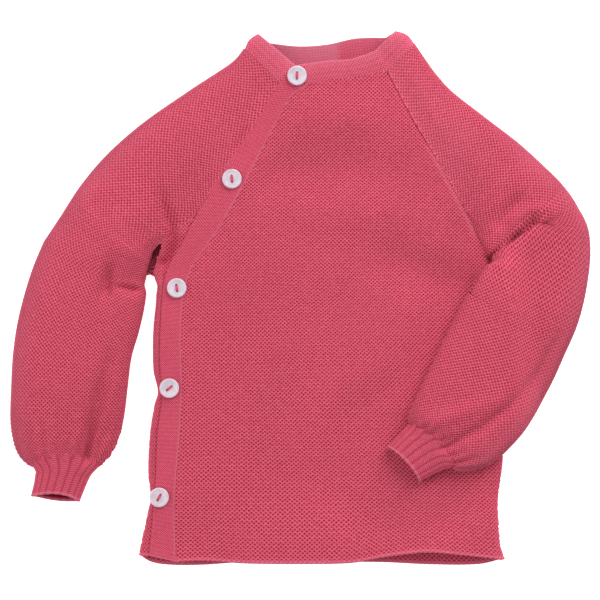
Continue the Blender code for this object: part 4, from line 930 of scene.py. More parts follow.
class Sleeve(namedtuple("SleeveShape", (
        "rows cap shoulder peak front_edge back_edge seam_height back_height rests_on creased "
        "joint folds seam_folds swing gape"))):
    """Rows from the cuff to the neckband, laid out by distance from the outer fold.

    joint gives the levels between which the tube's section turns into the raglan's.
    """

    form = None             # of the elbow, made when it is first needed

    def ends(self, level):
        """Front end, fold and back end of one row in plan, and its end heights."""
        reached = level + float(table_value(self.swing, level))
        if reached <= 1:
            outer = column(self.rows, "outer", reached)
        elif level <= 2:
            outer = along(self.shoulder, reached - 1)
        else:
            outer = along(self.peak, level - 2)
        if level <= 1:
            inner = column(self.rows, "inner", level)
            inner = inner - np.array([float(self.gape(inner[1])), 0.0])
            lift = column(self.rows, "inner_fold", level)
            return inner, outer, inner, lift, lift
        front = self.front_edge(level)
        back = self.back_edge(level)
        back_lift = self.back_height(back[1]) if level <= 2 else 0.0
        return front, outer, back, self.seam_height(front[1]), back_lift

    def section(self, turn, level):
        """Outer face of one row; turn is 0 at the front end, 0.5 at the outer fold."""
        front, outer, back, front_lift, back_lift = self.ends(level)
        table = self.rows if level <= 1 else self.cap
        fold = column(table, "outer_fold", level)
        crown = column(table, "crown", level)
        crisp = column(table, "crispness", level)
        on_top = turn <= 0.5
        side = np.where(on_top, -np.cos(math.tau * turn), np.cos(math.tau * (turn - 0.5)))
        share = (side + 1) / 2
        end = np.where(on_top[:, None], front, back)
        plan = end + (outer - end) * share[:, None]
        base = blend(np.where(on_top, front_lift, back_lift), fold, share)
        flat = np.abs(side)
        above = np.maximum(1 - flat ** crisp, 0.0) ** (1 / crisp)
        below = np.maximum(1 - flat ** FLAT_CRISPNESS, 0.0) ** (1 / FLAT_CRISPNESS)
        joined = np.where(share < 0.5, np.sin(math.pi * np.clip(share, 0, 0.5)), above)
        low, high = self.joint
        above = blend(above, joined, ease((level - low) / (high - low)))
        drape = fold_depth(plan[:, 0], plan[:, 1], self.folds)
        drape = drape * ease(share * 8) * ease((1 - share) * 8)
        drape = drape + fold_depth(plan[:, 0], plan[:, 1], self.seam_folds)
        lift = np.where(on_top, base + (crown - base) * above - drape, base * (1 - below))
        floor = 0.0
        if level <= 1:
            resting = column(self.rows, "resting", level)
            floor = resting * self.rests_on(plan[:, 0], plan[:, 1])
        return np.column_stack([plan, floor + lift])

    def levels(self, spacing):
        """Levels of rows that lie one spacing apart, measured half way across."""
        fine = np.linspace(0.0, 2.0, 1200)
        middle = []
        for level in fine:
            front, outer, back, *_ = self.ends(level)
            middle.append((np.asarray(outer) * 1.2 + front * 0.4 + back * 0.4) / 2)
        length = lengths(np.array(middle))
        count = int(round(length[-1] / spacing))
        return np.interp(np.linspace(0, length[-1], count + 1), length, fine)

    def row_points(self, level, distances, cut):
        """Points of a row at distances from the outer fold; negative towards the front.

        With cut 0 the row's stitches fill it, with cut 1 they keep their size and those
        past its ends are cut off.
        """
        turns = np.linspace(0, 1, 241)
        length = lengths(self.section(turns, level))
        fold = len(turns) // 2
        before, after = length[fold], length[-1] - length[fold]
        filled = distances * np.where(distances < 0, before, after) / distances.max()
        at = blend(filled, np.clip(distances, -before, after), cut)
        places = np.interp(length[fold] + at, length, turns)
        points = self.section(places, level)
        wales = blend(distances, at, cut)
        if self.creased and ELBOW_ROWS[0].level < level < ELBOW_ROWS[-1].level:
            top = distances <= 0
            points[top], wales[top] = self.elbow_row(level, distances[top])
        return points, wales

    def elbow_row(self, level, distances):
        """The upper half of a row that ends at the elbow's crease, from a smooth form."""
        if self.form is None:
            self.form = self.smooth_form()
        _, outer, _, _, _ = self.ends(level)
        inner = smooth_value([row.level for row in ELBOW_ROWS],
                             [row.inner for row in ELBOW_ROWS], level)
        angles = np.linspace(0, math.pi / 2, 121)
        plan = inner + (outer - inner) * np.sin(angles)[:, None]
        curve = np.column_stack([plan, np.zeros(len(plan))])
        fold = column(self.rows, "outer_fold", level)
        rest = column(self.rows, "resting", level) * self.rests_on(*outer)
        for k, (x, y, _) in enumerate(curve):
            hit = self.form.ray_cast(Vector((x, y, 100)), Vector((0, 0, -1)))[0]
            curve[k, 2] = hit.z if hit else rest + fold
        curve[-1, 2] = rest + fold
        curve[:, 2] -= elbow_groove(curve[:, 0], curve[:, 1], level > CREASE_TURN_LEVEL)
        length = lengths(curve)
        at = np.maximum(distances, -length[-1])
        points = np.column_stack([np.interp(length[-1] + at, length, curve[:, axis])
                                  for axis in range(3)])
        return points, at

    def smooth_form(self):
        """The upper half of the sleeve round the elbow, as a form to lay rows on."""
        turns = np.linspace(0, 0.5, 61)
        levels = np.linspace(*ELBOW_FORM_LEVELS, 171)
        grid = np.concatenate([self.section(turns, level) for level in levels])
        across = len(turns)
        quads = [(a, a + 1, a + across + 1, a + across)
                 for row in range(len(levels) - 1)
                 for a in range(row * across, row * across + across - 1)]
        return BVHTree.FromPolygons([tuple(point) for point in grid], quads)


def elbow_groove(x, y, from_upper_arm):
    """Depth of the elbow's crease, seen from the forearm or from the upper arm."""
    start = np.array(CREASE_FROM)
    run = np.array(CREASE_TO) - start
    across = np.array([-run[1], run[0]]) / np.linalg.norm(run)
    place = np.stack([x, y], axis=-1) - start
    along_crease = (place @ run) / (run @ run)
    side = place @ across
    past_tip = np.maximum(along_crease - 1, 0) * np.linalg.norm(run)
    depth = table_value(CREASE_DEPTHS, along_crease) * hump(past_tip, CREASE_TIP_FADE)
    if from_upper_arm:
        away = np.maximum(side, 0)
        roll = ROLL_HEIGHT * hump(away - ROLL_DISTANCE, ROLL_WIDTH)
        roll = roll * ease(along_crease * 4) * ease((1.2 - along_crease) * 3)
        return depth * hump(away, VALLEY_WIDTH, 1.7) - roll
    away = np.maximum(-side, 0)
    return LIP_SHARE * depth * hump(away, LIP_WIDTH, 1.5)


def front_right_edge(level):
    return side_edge(RIGHT_FOLD, RIGHT_RAGLAN, RIGHT_FRONT_BAND_TOP, level)


def back_right_edge(level):
    return side_edge(RIGHT_FOLD, BACK_RIGHT_RAGLAN, RIGHT_BACK_BAND_TOP, level)


def front_left_edge(level):
    return side_edge(LEFT_FOLD, LEFT_RAGLAN, LEFT_FRONT_BAND_TOP, level)


def back_left_edge(level):
    return side_edge(LEFT_FOLD, BACK_LEFT_RAGLAN, LEFT_BACK_BAND_TOP, level)


def slit_edge(level):
    """The right sleeve's edge, set back where the armpit's slit gapes."""
    edge = front_left_edge(level)
    lap = BAND_LAP * ease((edge[1] - BAND_LAP_FROM) / BAND_LAP_FADE) * (level < 2)
    return edge + np.array([lap - slit_gap(edge[1]), 0.0])


def sleeve_seam_height(y):
    return table_value(SLEEVE_SEAM_HEIGHTS, y)


SLEEVE_RIGHT = Sleeve(
    RIGHT_SLEEVE, RIGHT_CAP, RIGHT_SHOULDER, RIGHT_NECK_PEAK,
    slit_edge, back_left_edge, sleeve_seam_height, back_left_height, table_floor,
    creased=False, joint=(1.02, 1.16), folds=RIGHT_SLEEVE_FOLDS, seam_folds=ARMPIT_FOLDS,
    swing=RIGHT_SWING, gape=slit_gap)
SLEEVE_LEFT = Sleeve(
    LEFT_SLEEVE, LEFT_CAP, LEFT_SHOULDER, LEFT_NECK_PEAK,
    front_right_edge, back_right_edge, right_seam_height, back_right_height, front_floor,
    creased=True, joint=(1.0, 1.25), folds=LEFT_SLEEVE_FOLDS, seam_folds=(),
    swing=LEFT_SWING, gape=no_fold)


def sleeve_sheet(name, sleeve, half_width, seed, shoulder_light_tone, inside_out):
    """A sleeve knitted in rows across its axis, with wales along the outer fold."""
    half = STITCH_WIDTH / 2
    side_columns = int(round(half_width / half))
    last = 2 * side_columns
    distances = (np.arange(last + 1) - side_columns) * half
    levels = sleeve.levels(STITCH_HEIGHT / 2)
    points = np.empty((len(levels), last + 1, 3))
    wales = np.empty((len(levels), last + 1))
    cut_edge = np.zeros((len(levels), last + 1))
    for k, level in enumerate(levels):
        cut = float(ease((level - CUT_START) / CUT_LENGTH))
        points[k], along_row = sleeve.row_points(level, distances, cut)
        wales[k] = along_row / STITCH_WIDTH
        cut_edge[k] = (along_row < along_row[0] + CUT_CORD_WIDTH) * ease((level - 1) / 0.1)
    rise = CUFF_RISE * np.sin(math.pi * np.arange(side_columns) / side_columns)
    k = np.arange(CUFF_RISE_FADE)[:, None]
    reached = k + rise * (1 - k / CUFF_RISE_FADE)
    whole = reached.astype(int)
    share = (reached - whole)[..., None]
    front = np.arange(side_columns)
    points[:CUFF_RISE_FADE, :side_columns] = blend(points[whole, front], points[whole + 1, front],
                                                   share)

    def place(i, j):
        i = i.astype(int)
        j = j.astype(int)
        return (*points[j, i].T, wales[j, i], j / 2)

    smoothed = np.ones(wales.shape)
    if sleeve.creased:
        from_tip = np.hypot(points[..., 0] - CREASE_TO[0], points[..., 1] - CREASE_TO[1])
        smoothed = ease(from_tip / CREASE_CALM)

    def relief(i, j, u, v):
        level = levels[nearest(j)]
        on_top = ease((side_columns * 1.1 - i) / 8)
        share = np.clip(level / GATHER_TOP, 0, 1)
        lean = 0.6 * np.sin(j * 0.23 + seed) + 0.25 * np.sin(i * 0.3)
        wave = np.cos(math.tau * GATHERS * i / last + lean)
        uneven = 0.7 + 0.3 * np.sin(i * 0.37 + seed)
        gather = GATHER_HEIGHT * np.sin(math.pi * share ** 0.4) * wave * uneven * on_top
        swell = SLEEVE_SWELL * soft_waves(i * half, j * STITCH_HEIGHT / 2, seed, 60)
        calm = ease(np.minimum(i, last - i) / 14) * ease(level / 0.1) * on_top
        off_fold = np.abs(i - side_columns) * half
        height = RELIEF * np.where(i > side_columns * 1.2, UNDERSIDE_RELIEF, 1.0)
        height = height * (1 + FOLD_RELIEF * hump(off_fold, 5))
        tucked = CUFF_SEAM_TUCK * hump(j, 1.5)
        stitches = stitch_relief(height)(i, j, u, v)
        stitches = stitches * smoothed[nearest(j), nearest(i)]
        return gather + swell * calm - tucked + stitches

    def tone(i, j, u, v):
        off_fold = np.abs(i - side_columns) * half
        edge = cut_edge[nearest(j), nearest(i)]
        # painted light: with a tone above 0 the shoulder is painted paler, where it faces the
        # lamp; below 0 it is greyer
        shoulder = ease((levels[nearest(j)] - 1.15) / 0.4)
        # painted sheen: the outer fold is painted greyer, less so on the shoulder
        painted_sheen = ease(1 - off_fold / SHEEN_STRIP_WIDTH) * blend(1, 0.3, shoulder)
        return edge + shoulder_light_tone * shoulder - painted_sheen

    return knitted_sheet(name, last, len(levels) - 1, place, relief, tone,
                         merge=SLEEVE_MERGE, inside_out=inside_out)


def rib_wave(u):
    """Rounded ribs with narrow furrows; u counts ribs."""
    return np.abs(np.cos(math.pi * u)) ** 0.7


def cuff_sheet(name, sleeve, recess, back_recess, bow, inside_out):
    """A cuff in fine ribs; its front rim draws back so that the dark mouth shows, and its mouth is
    darkened further with painted shade.
    """
    columns, rows = RIBS * POINTS_PER_RIB, CUFF_ROWS
    turns = np.linspace(0, 1, columns + 1)
    share = (1 - np.cos(math.tau * turns)) / 2
    front = turns < 0.5
    hollow = np.sin(math.pi * share)
    top = sleeve.levels(STITCH_HEIGHT / 2)[CUFF_RISE + 1] * np.where(front, hollow, 0.0) + 0.015
    rim = -1 + np.where(front, recess, back_recess) * hollow ** 0.8
    fine = np.concatenate([np.linspace(-1, 0, 60), np.linspace(0, top.max(), 30)[1:]])
    form = np.array([sleeve.section(turns, level) for level in fine])
    length = lengths(form)
    points = np.empty((rows + 1, columns + 1, 3))
    for c in range(columns + 1):
        ends = np.interp([rim[c], top[c]], fine, length[:, c])
        at = np.linspace(*ends, rows + 1)
        for axis in range(3):
            points[:, c, axis] = np.interp(at, length[:, c], form[:, c, axis])
    lowest = ease(1 - np.arange(rows + 1) / 14)[:, None]
    points[..., 1] -= bow * np.where(front, 0.0, hollow) * lowest

    def place(i, j):
        point = points[j.astype(int), i.astype(int)]
        return (*point.T, i / POINTS_PER_RIB, j * CUFF_ROW_HEIGHT)

    def relief(i, j, u, v):
        turn = i / columns
        below = ease((turn - 0.5) * 8) * ease((1 - turn) * 8)
        edge = CUFF_EDGE_HEIGHT * hump(j, 1.6)
        uneven = np.sin(i * 0.9) + np.sin(i * 0.37)
        under_sleeve = CUFF_UNDER_SLEEVE * ease((j - rows + 4 + uneven) / 4)
        rib = RIB_HEIGHT * rib_wave(u) + 0.05 * np.cos(math.pi * j) - CUFF_SINK + edge
        return rib * (1 - CUFF_FLATTER * below) - under_sleeve

    def tone(i, j, u, v):
        # painted shade: the lower half near the rim is painted dark, where the mouth lies in shade
        painted_mouth_shade = (i > columns * 0.5) * ease((j - 2) / 3) * ease((28 - j) / 8)
        return np.where(j < 2.5, CUFF_EDGE_TONE, CUFF_TONE) - painted_mouth_shade

    return knitted_sheet(name, columns, rows, place, relief, tone, wall=FINE_WALL,
                         merge=CUFF_MERGE, ribbed=lambda i, j: 1.0, inside_out=inside_out)


def build_placket():
    """The slanted band: fine stitches along its length, an edge cord on either side."""
    columns = PLACKET_COLUMNS
    levels = np.linspace(0, 2, 4000)
    left, right = placket_edges(levels)
    length = lengths((left + right) / 2)
    rows = int(length[-1] / PLACKET_ROW_HEIGHT)
    row_levels = np.interp(np.linspace(0, length[-1], rows + 1), length, levels)

    def place(i, j):
        a, b = placket_edges(row_levels[j.astype(int)])
        share = (i / columns)[:, None]
        plan = a + (b - a) * (share * PLACKET_WIDER)
        z = front_height(plan[:, 0], np.minimum(plan[:, 1], LEFT_RAGLAN[-1].y))
        turned_down = TURNED_DOWN * hump(i, 1.8) * ease((LEFT_ARMPIT_Y - plan[:, 1]) / 10)
        return plan[:, 0], plan[:, 1], z - turned_down, i / 2, j / 2

    def relief(i, j, u, v):
        fine = PLACKET_RELIEF * np.cos(math.pi * i) * np.cos(math.pi * j)
        return banded(fine, i, columns, PLACKET_EDGE)

    def tone(i, j, u, v):
        cord = edge_cord(i, columns, PLACKET_EDGE)
        return np.maximum(cord * ease(i / columns), first_row(j))

    return knitted_sheet("placket_knit", columns, rows, place, relief, tone,
                         wall=PLACKET_WALL, merge=BAND_MERGE)


def inwards(line, last):
    """How far a line of points lies from the nearer edge of a band, as a share of it."""
    return np.minimum(line, last - line) / last


def edge_cord(line, last, edge):
    """1 on the cord along either edge of a band, 0 away from it."""
    return hump(inwards(line, last) - edge.cord_at, edge.cord_width)


def banded(knitted, line, last, edge):
    """Relief of a band: its knitting between the cords, its edges rounded off."""
    cord = edge_cord(line, last, edge)
    rounded = -edge.drop * hump(inwards(line, last), edge.drop_width)
    return edge.cord_height * cord + rounded + knitted * (1 - cord)


def placket_edges(level):
    """Left and right edge of the button band, by level."""
    return (band_edge(PLACKET_LEFT, PLACKET_LEFT_BEND_Y, MITRE_TOP, level),
            band_edge(PLACKET_RIGHT, PLACKET_RIGHT_BEND_Y, MITRE_TOP, level))


def build_neckband():
    """One band round the neck, from the front's mitre to the end under the front."""
    rows = NECKBAND_ROWS
    spans = [band_row(level) for level in np.linspace(NECKBAND_START, 3, rows + 1)]
    points = np.array([points for points, _ in spans])
    ribs = spans[rows // 2][1]

    def place(i, j):
        i = i.astype(int)
        return (*points[j.astype(int), i].T, ribs[i], j / 2)

    def relief(i, j, u, v):
        fine = 0.10 * np.cos(math.tau * u) * np.cos(math.pi * j)
        ribbed = 0.16 * rib_wave(u) + 0.06 * np.cos(math.pi * j)
        crown = NECKBAND_CROWN * np.sin(math.pi * j / rows) * (1 - at_back(i, j))
        return banded(blend(fine, ribbed, at_back(i, j)), j, rows, NECKBAND_EDGE) + crown

    def tone(i, j, u, v):
        # painted light: the back neckband beyond BACK_LIT_FROM is painted paler, as if lit
        lit = ease((i - BACK_LIT_FROM) / 12) * ease((BACK_TO - i) / 10)
        cord = edge_cord(j, rows, NECKBAND_EDGE)
        return 0.1 + 0.4 * j / rows + 0.4 * cord + 0.8 * lit

    def at_back(i, j):
        return BACK_RIBBED * ease((i - BACK_FROM) / 10) * ease((BACK_TO - i) / 10)

    columns = points.shape[1] - 1
    return knitted_sheet("neckband_knit", columns, rows, place, relief, tone,
                         merge=BAND_MERGE, ribbed=at_back)


def band_row(level):
    """One row of the neckband and how many ribs lie before each of its points."""
    past = level - 2
    front_start = band_edge(PLACKET_RIGHT, PLACKET_RIGHT_BEND_Y, MITRE_TOP, level)
    front_end = front_right_edge(level)
    t = np.linspace(0, 1, 130)
    bow = blend(table_value(FRONT_NECK_BOW, t), table_value(FRONT_BAND_BOW, t), past)
    plan = front_start + (front_end - front_start) * t[:, None]
    top = loose_top(plan[:, 0], plan[:, 1]) - RAGLAN_DIP * t
    front = np.column_stack([plan[:, 0], plan[:, 1] + bow, top])
    left = SLEEVE_LEFT.section(np.linspace(0, 1, 150)[1:], level)
    b0, b1 = back_right_edge(level), back_left_edge(level)
    t = np.linspace(0, 1, 180)[1:]
    plan = b0 + (b1 - b0) * t[:, None]
    bow = blend(table_value(BACK_NECK_BOW, 1 - t), table_value(BACK_BAND_BOW, 1 - t), past)
    back = np.column_stack([plan[:, 0], plan[:, 1] + bow, np.zeros(len(t))])
    right = SLEEVE_RIGHT.section(np.linspace(1, 0, 120)[1:], level)
    u0 = front_left_edge(level)
    u1 = band_edge(UNDER_RIGHT, UNDER_RIGHT_BEND_Y, UNDER_BAND_END, level)
    t = np.linspace(0, 1, 24)[1:]
    plan = u0 + (u1 - u0) * t[:, None]
    dip = sleeve_seam_height(130.0) - UNDER_HEIGHT
    under = np.column_stack([plan, UNDER_HEIGHT + dip * (1 - ease(t * 3))])
    row = np.concatenate([front, left, back, right, under])
    return row, lengths(row) / BAND_RIB


# ---------------------------------------------------------------- buttons

def button_seat(button):
    """Where a button sits: on the band, square to it, its holes turned."""
    reach = 2.0

    def height(x, y):
        return float(front_height(x, min(y, LEFT_RAGLAN[-1].y)))

    slope_x = height(button.x + reach, button.y) - height(button.x - reach, button.y)
    slope_y = height(button.x, button.y + reach) - height(button.x, button.y - reach)
    normal = Vector((-slope_x, -slope_y, 2 * reach)).normalized()
    turn = Vector((0, 0, 1)).rotation_difference(normal).to_matrix().to_4x4()
    spin = Matrix.Rotation(math.radians(button.thread_angle), 4, "Z")
    middle = Vector((button.x, button.y, height(button.x, button.y)))
    seat = middle + normal * BUTTON_SEAT
    return Matrix.Diagonal((MM, MM, MM, 1)) @ Matrix.Translation(seat) @ turn @ spin


def button_section():
    """Half section of a button: dished middle, rounded rim, flat back."""
    rim = BUTTON_RADIUS
    top = BUTTON_THICKNESS
    section = [(r, top - DISH_DEPTH + 0.10 * (r / 3.6) ** 2) for r in (0.0, 1.2, 2.4, 3.4)]
    section += [(3.9, top - 0.26), (4.3, top - 0.1), (4.7, top - 0.02), (5.0, top)]
    for k in range(1, 7):
        angle = math.radians(15 * k)
        section.append((rim - RIM_ROUNDING * (1 - math.sin(angle)),
                        top - RIM_ROUNDING * (1 - math.cos(angle))))
    section += [(rim, 0.7), (rim - 0.25, 0.25), (rim - 0.8, 0.0), (2.5, 0.0), (0.0, 0.0)]
    return section


def add_button(number, button):
    """A turned shell disc with two drilled holes."""
    mesh = bmesh.new()
    profile = [mesh.verts.new((r, 0, z)) for r, z in button_section()]
    edges = [mesh.edges.new(pair) for pair in zip(profile, profile[1:])]
    bmesh.ops.spin(mesh, geom=profile + edges, cent=(0, 0, 0), axis=(0, 0, 1),
                   angle=math.tau, steps=72, use_merge=True)
    bmesh.ops.remove_doubles(mesh, verts=mesh.verts[:], dist=0.0001)
    bmesh.ops.recalc_face_normals(mesh, faces=mesh.faces[:])
    bmesh.ops.scale(mesh, vec=(MM, MM, MM), verts=mesh.verts[:])
    disc = new_piece(f"button_{number}_disc", mesh)
    drill_mesh = bmesh.new()
    for side in (-1, 1):
        shift = Matrix.Translation((side * HOLE_SPACING / 2 * MM, 0, 0))
        bmesh.ops.create_cone(drill_mesh, cap_ends=True, segments=24,
                              radius1=HOLE_RADIUS * MM, radius2=HOLE_RADIUS * MM,
                              depth=BUTTON_THICKNESS * 4 * MM, matrix=shift)
    drill = new_piece("drill", drill_mesh)
    cut = disc.modifiers.new("holes", "BOOLEAN")
    cut.operation = "DIFFERENCE"
    cut.solver = "EXACT"
    cut.object = drill
    shaped = bpy.data.meshes.new_from_object(
        disc.evaluated_get(bpy.context.evaluated_depsgraph_get()))
    disc.modifiers.clear()
    disc.data = shaped
    bpy.data.objects.remove(drill)
    unit = Matrix.Diagonal((1 / MM, 1 / MM, 1 / MM, 1))
    shaped.transform(button_seat(button) @ unit)
    shaped.name = disc.name
    shaped.shade_smooth()
    shaped.set_sharp_from_angle(angle=math.radians(40))
    return disc


def add_button_thread(number, button):
    """Three strands of yarn over the middle of a button, from hole to hole."""
    mesh = bmesh.new()
    for across in STRANDS_AT:
        ring = bmesh.ops.create_circle(
            mesh, segments=10, radius=STRAND_RADIUS,
            matrix=Matrix.Translation((-HOLE_SPACING / 2, across, 0)))["verts"]
        hoop = bmesh.ops.spin(mesh, geom=ring + list({e for v in ring for e in v.link_edges}),
                              cent=(0, across, 0), axis=(0, 1, 0), angle=math.pi, steps=16)
        ends = [v for v in hoop["geom_last"] if isinstance(v, bmesh.types.BMVert)]
        bmesh.ops.contextual_create(mesh, geom=ring)
        bmesh.ops.contextual_create(mesh, geom=ends)
    bmesh.ops.scale(mesh, vec=(1, 1, STRAND_RISE), verts=mesh.verts[:])
    bmesh.ops.recalc_face_normals(mesh, faces=mesh.faces[:])
    on_top = Matrix.Translation((0, 0, BUTTON_THICKNESS - DISH_DEPTH - 0.15))
    bmesh.ops.transform(mesh, matrix=button_seat(button) @ on_top, verts=mesh.verts[:])
    return new_piece(f"button_{number}_thread", mesh)


def new_piece(name, mesh):
    data = bpy.data.meshes.new(name)
    mesh.to_mesh(data)
    mesh.free()
    data.shade_smooth()
    piece = bpy.data.objects.new(name, data)
    bpy.context.scene.collection.objects.link(piece)
    return piece


# ---------------------------------------------------------------- finishes

UNEVEN = 0.22           # the material's stitches wander by up to half this share of one
SHEEN_TINT = (1.0, 0.62, 0.72, 1.0)
# painted sheen: the greyer wool that a sleeve's outer fold is painted with
PAINTED_SHEEN_WOOL = (0.62, 0.112, 0.178)
PALE_BAND = (0.74, 0.30, 0.41)
PEARL_STREAK = (0.86, 0.70, 0.80)


class Wire:
    """A number in a material; arithmetic on it adds Math nodes."""

    def __init__(self, tree, socket):
        self.tree = tree
        self.socket = socket

    def math(self, operation, *values):
        node = self.tree.nodes.new("ShaderNodeMath")
        node.operation = operation
        for entry, value in zip(node.inputs, values):
            if isinstance(value, Wire):
                self.tree.links.new(value.socket, entry)
            else:
                entry.default_value = value
        return Wire(self.tree, node.outputs[0])

    def __add__(self, other):
        return self.math("ADD", self, other)

    def __radd__(self, other):
        return self.math("ADD", other, self)

    def __sub__(self, other):
        return self.math("SUBTRACT", self, other)

    def __rsub__(self, other):
        return self.math("SUBTRACT", other, self)

    def __mul__(self, other):
        return self.math("MULTIPLY", self, other)

    def __rmul__(self, other):
        return self.math("MULTIPLY", other, self)

    def __abs__(self):
        return self.math("ABSOLUTE", self)

    def cos(self):
        return self.math("COSINE", self)

    def above(self, other):
        return self.math("MAXIMUM", self, other)


class Finish:
    """A material being made: its nodes and the shader that they feed."""

    def __init__(self, name, roughness):
        self.material = bpy.data.materials.new(name)
        self.material.use_nodes = True
        self.tree = self.material.node_tree
        self.shader = self.tree.nodes["Principled BSDF"]
        self.shader.inputs["Roughness"].default_value = roughness

    def node(self, kind, settings=None, inputs=None, output=0):
        """A node with its settings, then its inputs set or linked; gives one output."""
        node = self.tree.nodes.new(kind)
        for label, value in (settings or {}).items():
            setattr(node, label, value)
        for label, value in (inputs or {}).items():
            if isinstance(value, Wire):
                self.tree.links.new(value.socket, node.inputs[label])
            else:
                node.inputs[label].default_value = value
        return Wire(self.tree, node.outputs[output])

    def feed(self, label, wire):
        self.tree.links.new(wire.socket, self.shader.inputs[label])

    def smooth(self, wire, low, high):
        """0 below low, 1 above high, smooth between."""
        return self.node("ShaderNodeMapRange", {"interpolation_type": "SMOOTHSTEP"},
                         {"Value": wire, "From Min": low, "From Max": high})

    def mix(self, share, a, b):
        """Mix two colours."""
        node = self.tree.nodes.new("ShaderNodeMix")
        node.data_type = "RGBA"
        for entry, value in ((node.inputs[0], share), (node.inputs[6], a), (node.inputs[7], b)):
            if isinstance(value, Wire):
                self.tree.links.new(value.socket, entry)
            elif isinstance(value, (int, float)):
                entry.default_value = value
            else:
                entry.default_value = (*value, 1.0)
        return Wire(self.tree, node.outputs[2])

    def noise(self, scale, detail=2.0, roughness=0.5):
        """Noise on the piece's own coordinates, in metres."""
        where = self.node("ShaderNodeTexCoord", output=3)
        return self.node("ShaderNodeTexNoise", {}, {
            "Vector": where, "Scale": scale, "Detail": detail, "Roughness": roughness})

    def clouds(self, low, high, *noise):
        """Noise, spread out so that it is 0 below low and 1 above high."""
        return self.smooth(self.noise(*noise), low, high)

    def point_value(self, label):
        """A number that each point of the mesh carries."""
        return self.node("ShaderNodeAttribute", {"attribute_name": label}, output=2)

    def bump(self, height, strength, distance):
        self.feed("Normal", self.node("ShaderNodeBump", {}, {
            "Height": height, "Strength": strength, "Distance": distance}))


def scaled(colour, factor):
    return tuple(channel * factor for channel in colour[:3])


def stitch_coordinates(finish):
    """The two stitch coordinates, a little uneven as hand-washed wool is."""
    where = finish.node("ShaderNodeUVMap", {"uv_map": "stitches"})
    split = finish.tree.nodes.new("ShaderNodeSeparateXYZ")
    finish.tree.links.new(where.socket, split.inputs[0])
    sway = finish.noise(900.0, 1.0) - 0.5
    pull = finish.noise(1100.0, 1.0) - 0.5
    u = Wire(finish.tree, split.outputs[0]) + sway * UNEVEN
    v = Wire(finish.tree, split.outputs[1]) + pull * UNEVEN
    return u, v


def wool_shader(finish, sheen):
    """Soft wool: dull, with a pale sheen of fine hairs."""
    shader = finish.shader
    shader.inputs["Specular IOR Level"].default_value = 0.08
    shader.inputs["Sheen Weight"].default_value = sheen
    shader.inputs["Sheen Roughness"].default_value = 0.4
    shader.inputs["Sheen Tint"].default_value = SHEEN_TINT


def knit_finish(name, wool, gap_shade_colour, strand_colour, sheen):
    """Textured jersey: gaps painted dark as painted shade between the loops, in a lighter net of
    slanting strands.
    """
    finish = Finish(name, 0.9)
    u, v = stitch_coordinates(finish)
    falling = ((u + v) * math.tau).cos()
    rising = ((u - v) * math.tau).cos()
    turn = finish.smooth(u.math("SINE", u * math.tau), -0.25, 0.25)
    crossing = (falling + rising) * 0.5
    net = (rising - (1 - turn) * 0.25).above(falling - turn * 0.25)
    # painted shade: the gaps between the stitches are painted dark, over the bump that sinks them
    gap = finish.smooth(crossing * -1.0, 0.1, 0.8)
    gap = gap * (0.7 + 0.5 * finish.clouds(0.3, 0.7, 420.0, 1.0))
    strand = finish.smooth(net, 0.3, 1.0)
    strand = strand * (0.7 + 0.5 * finish.clouds(0.3, 0.7, 510.0, 1.0))
    slow = finish.clouds(0.3, 0.7, 28.0, 3.0)
    fibre = finish.clouds(0.32, 0.68, 2600.0, 3.0, 0.7)
    tone = finish.point_value("tone")
    colour = finish.mix(slow, scaled(wool, 0.94), scaled(wool, 1.05))
    colour = finish.mix(strand * 0.8, colour, strand_colour)
    colour = finish.mix(gap, colour, gap_shade_colour)
    colour = finish.mix(fibre * 0.25, colour, scaled(wool, 0.7))
    # tone below 0: painted sheen along the sleeves' outer folds, and a greyer right shoulder
    colour = finish.mix((tone * -0.6).above(0.0), colour, PAINTED_SHEEN_WOOL)
    colour = finish.mix((tone * 0.5).above(0.0), colour, scaled(strand_colour, 1.1))
    finish.feed("Base Color", colour)
    wool_shader(finish, sheen)
    finish.bump(strand * 0.4 - gap * 0.8 + fibre * 0.3, 0.7, 0.0005)
    return finish.material


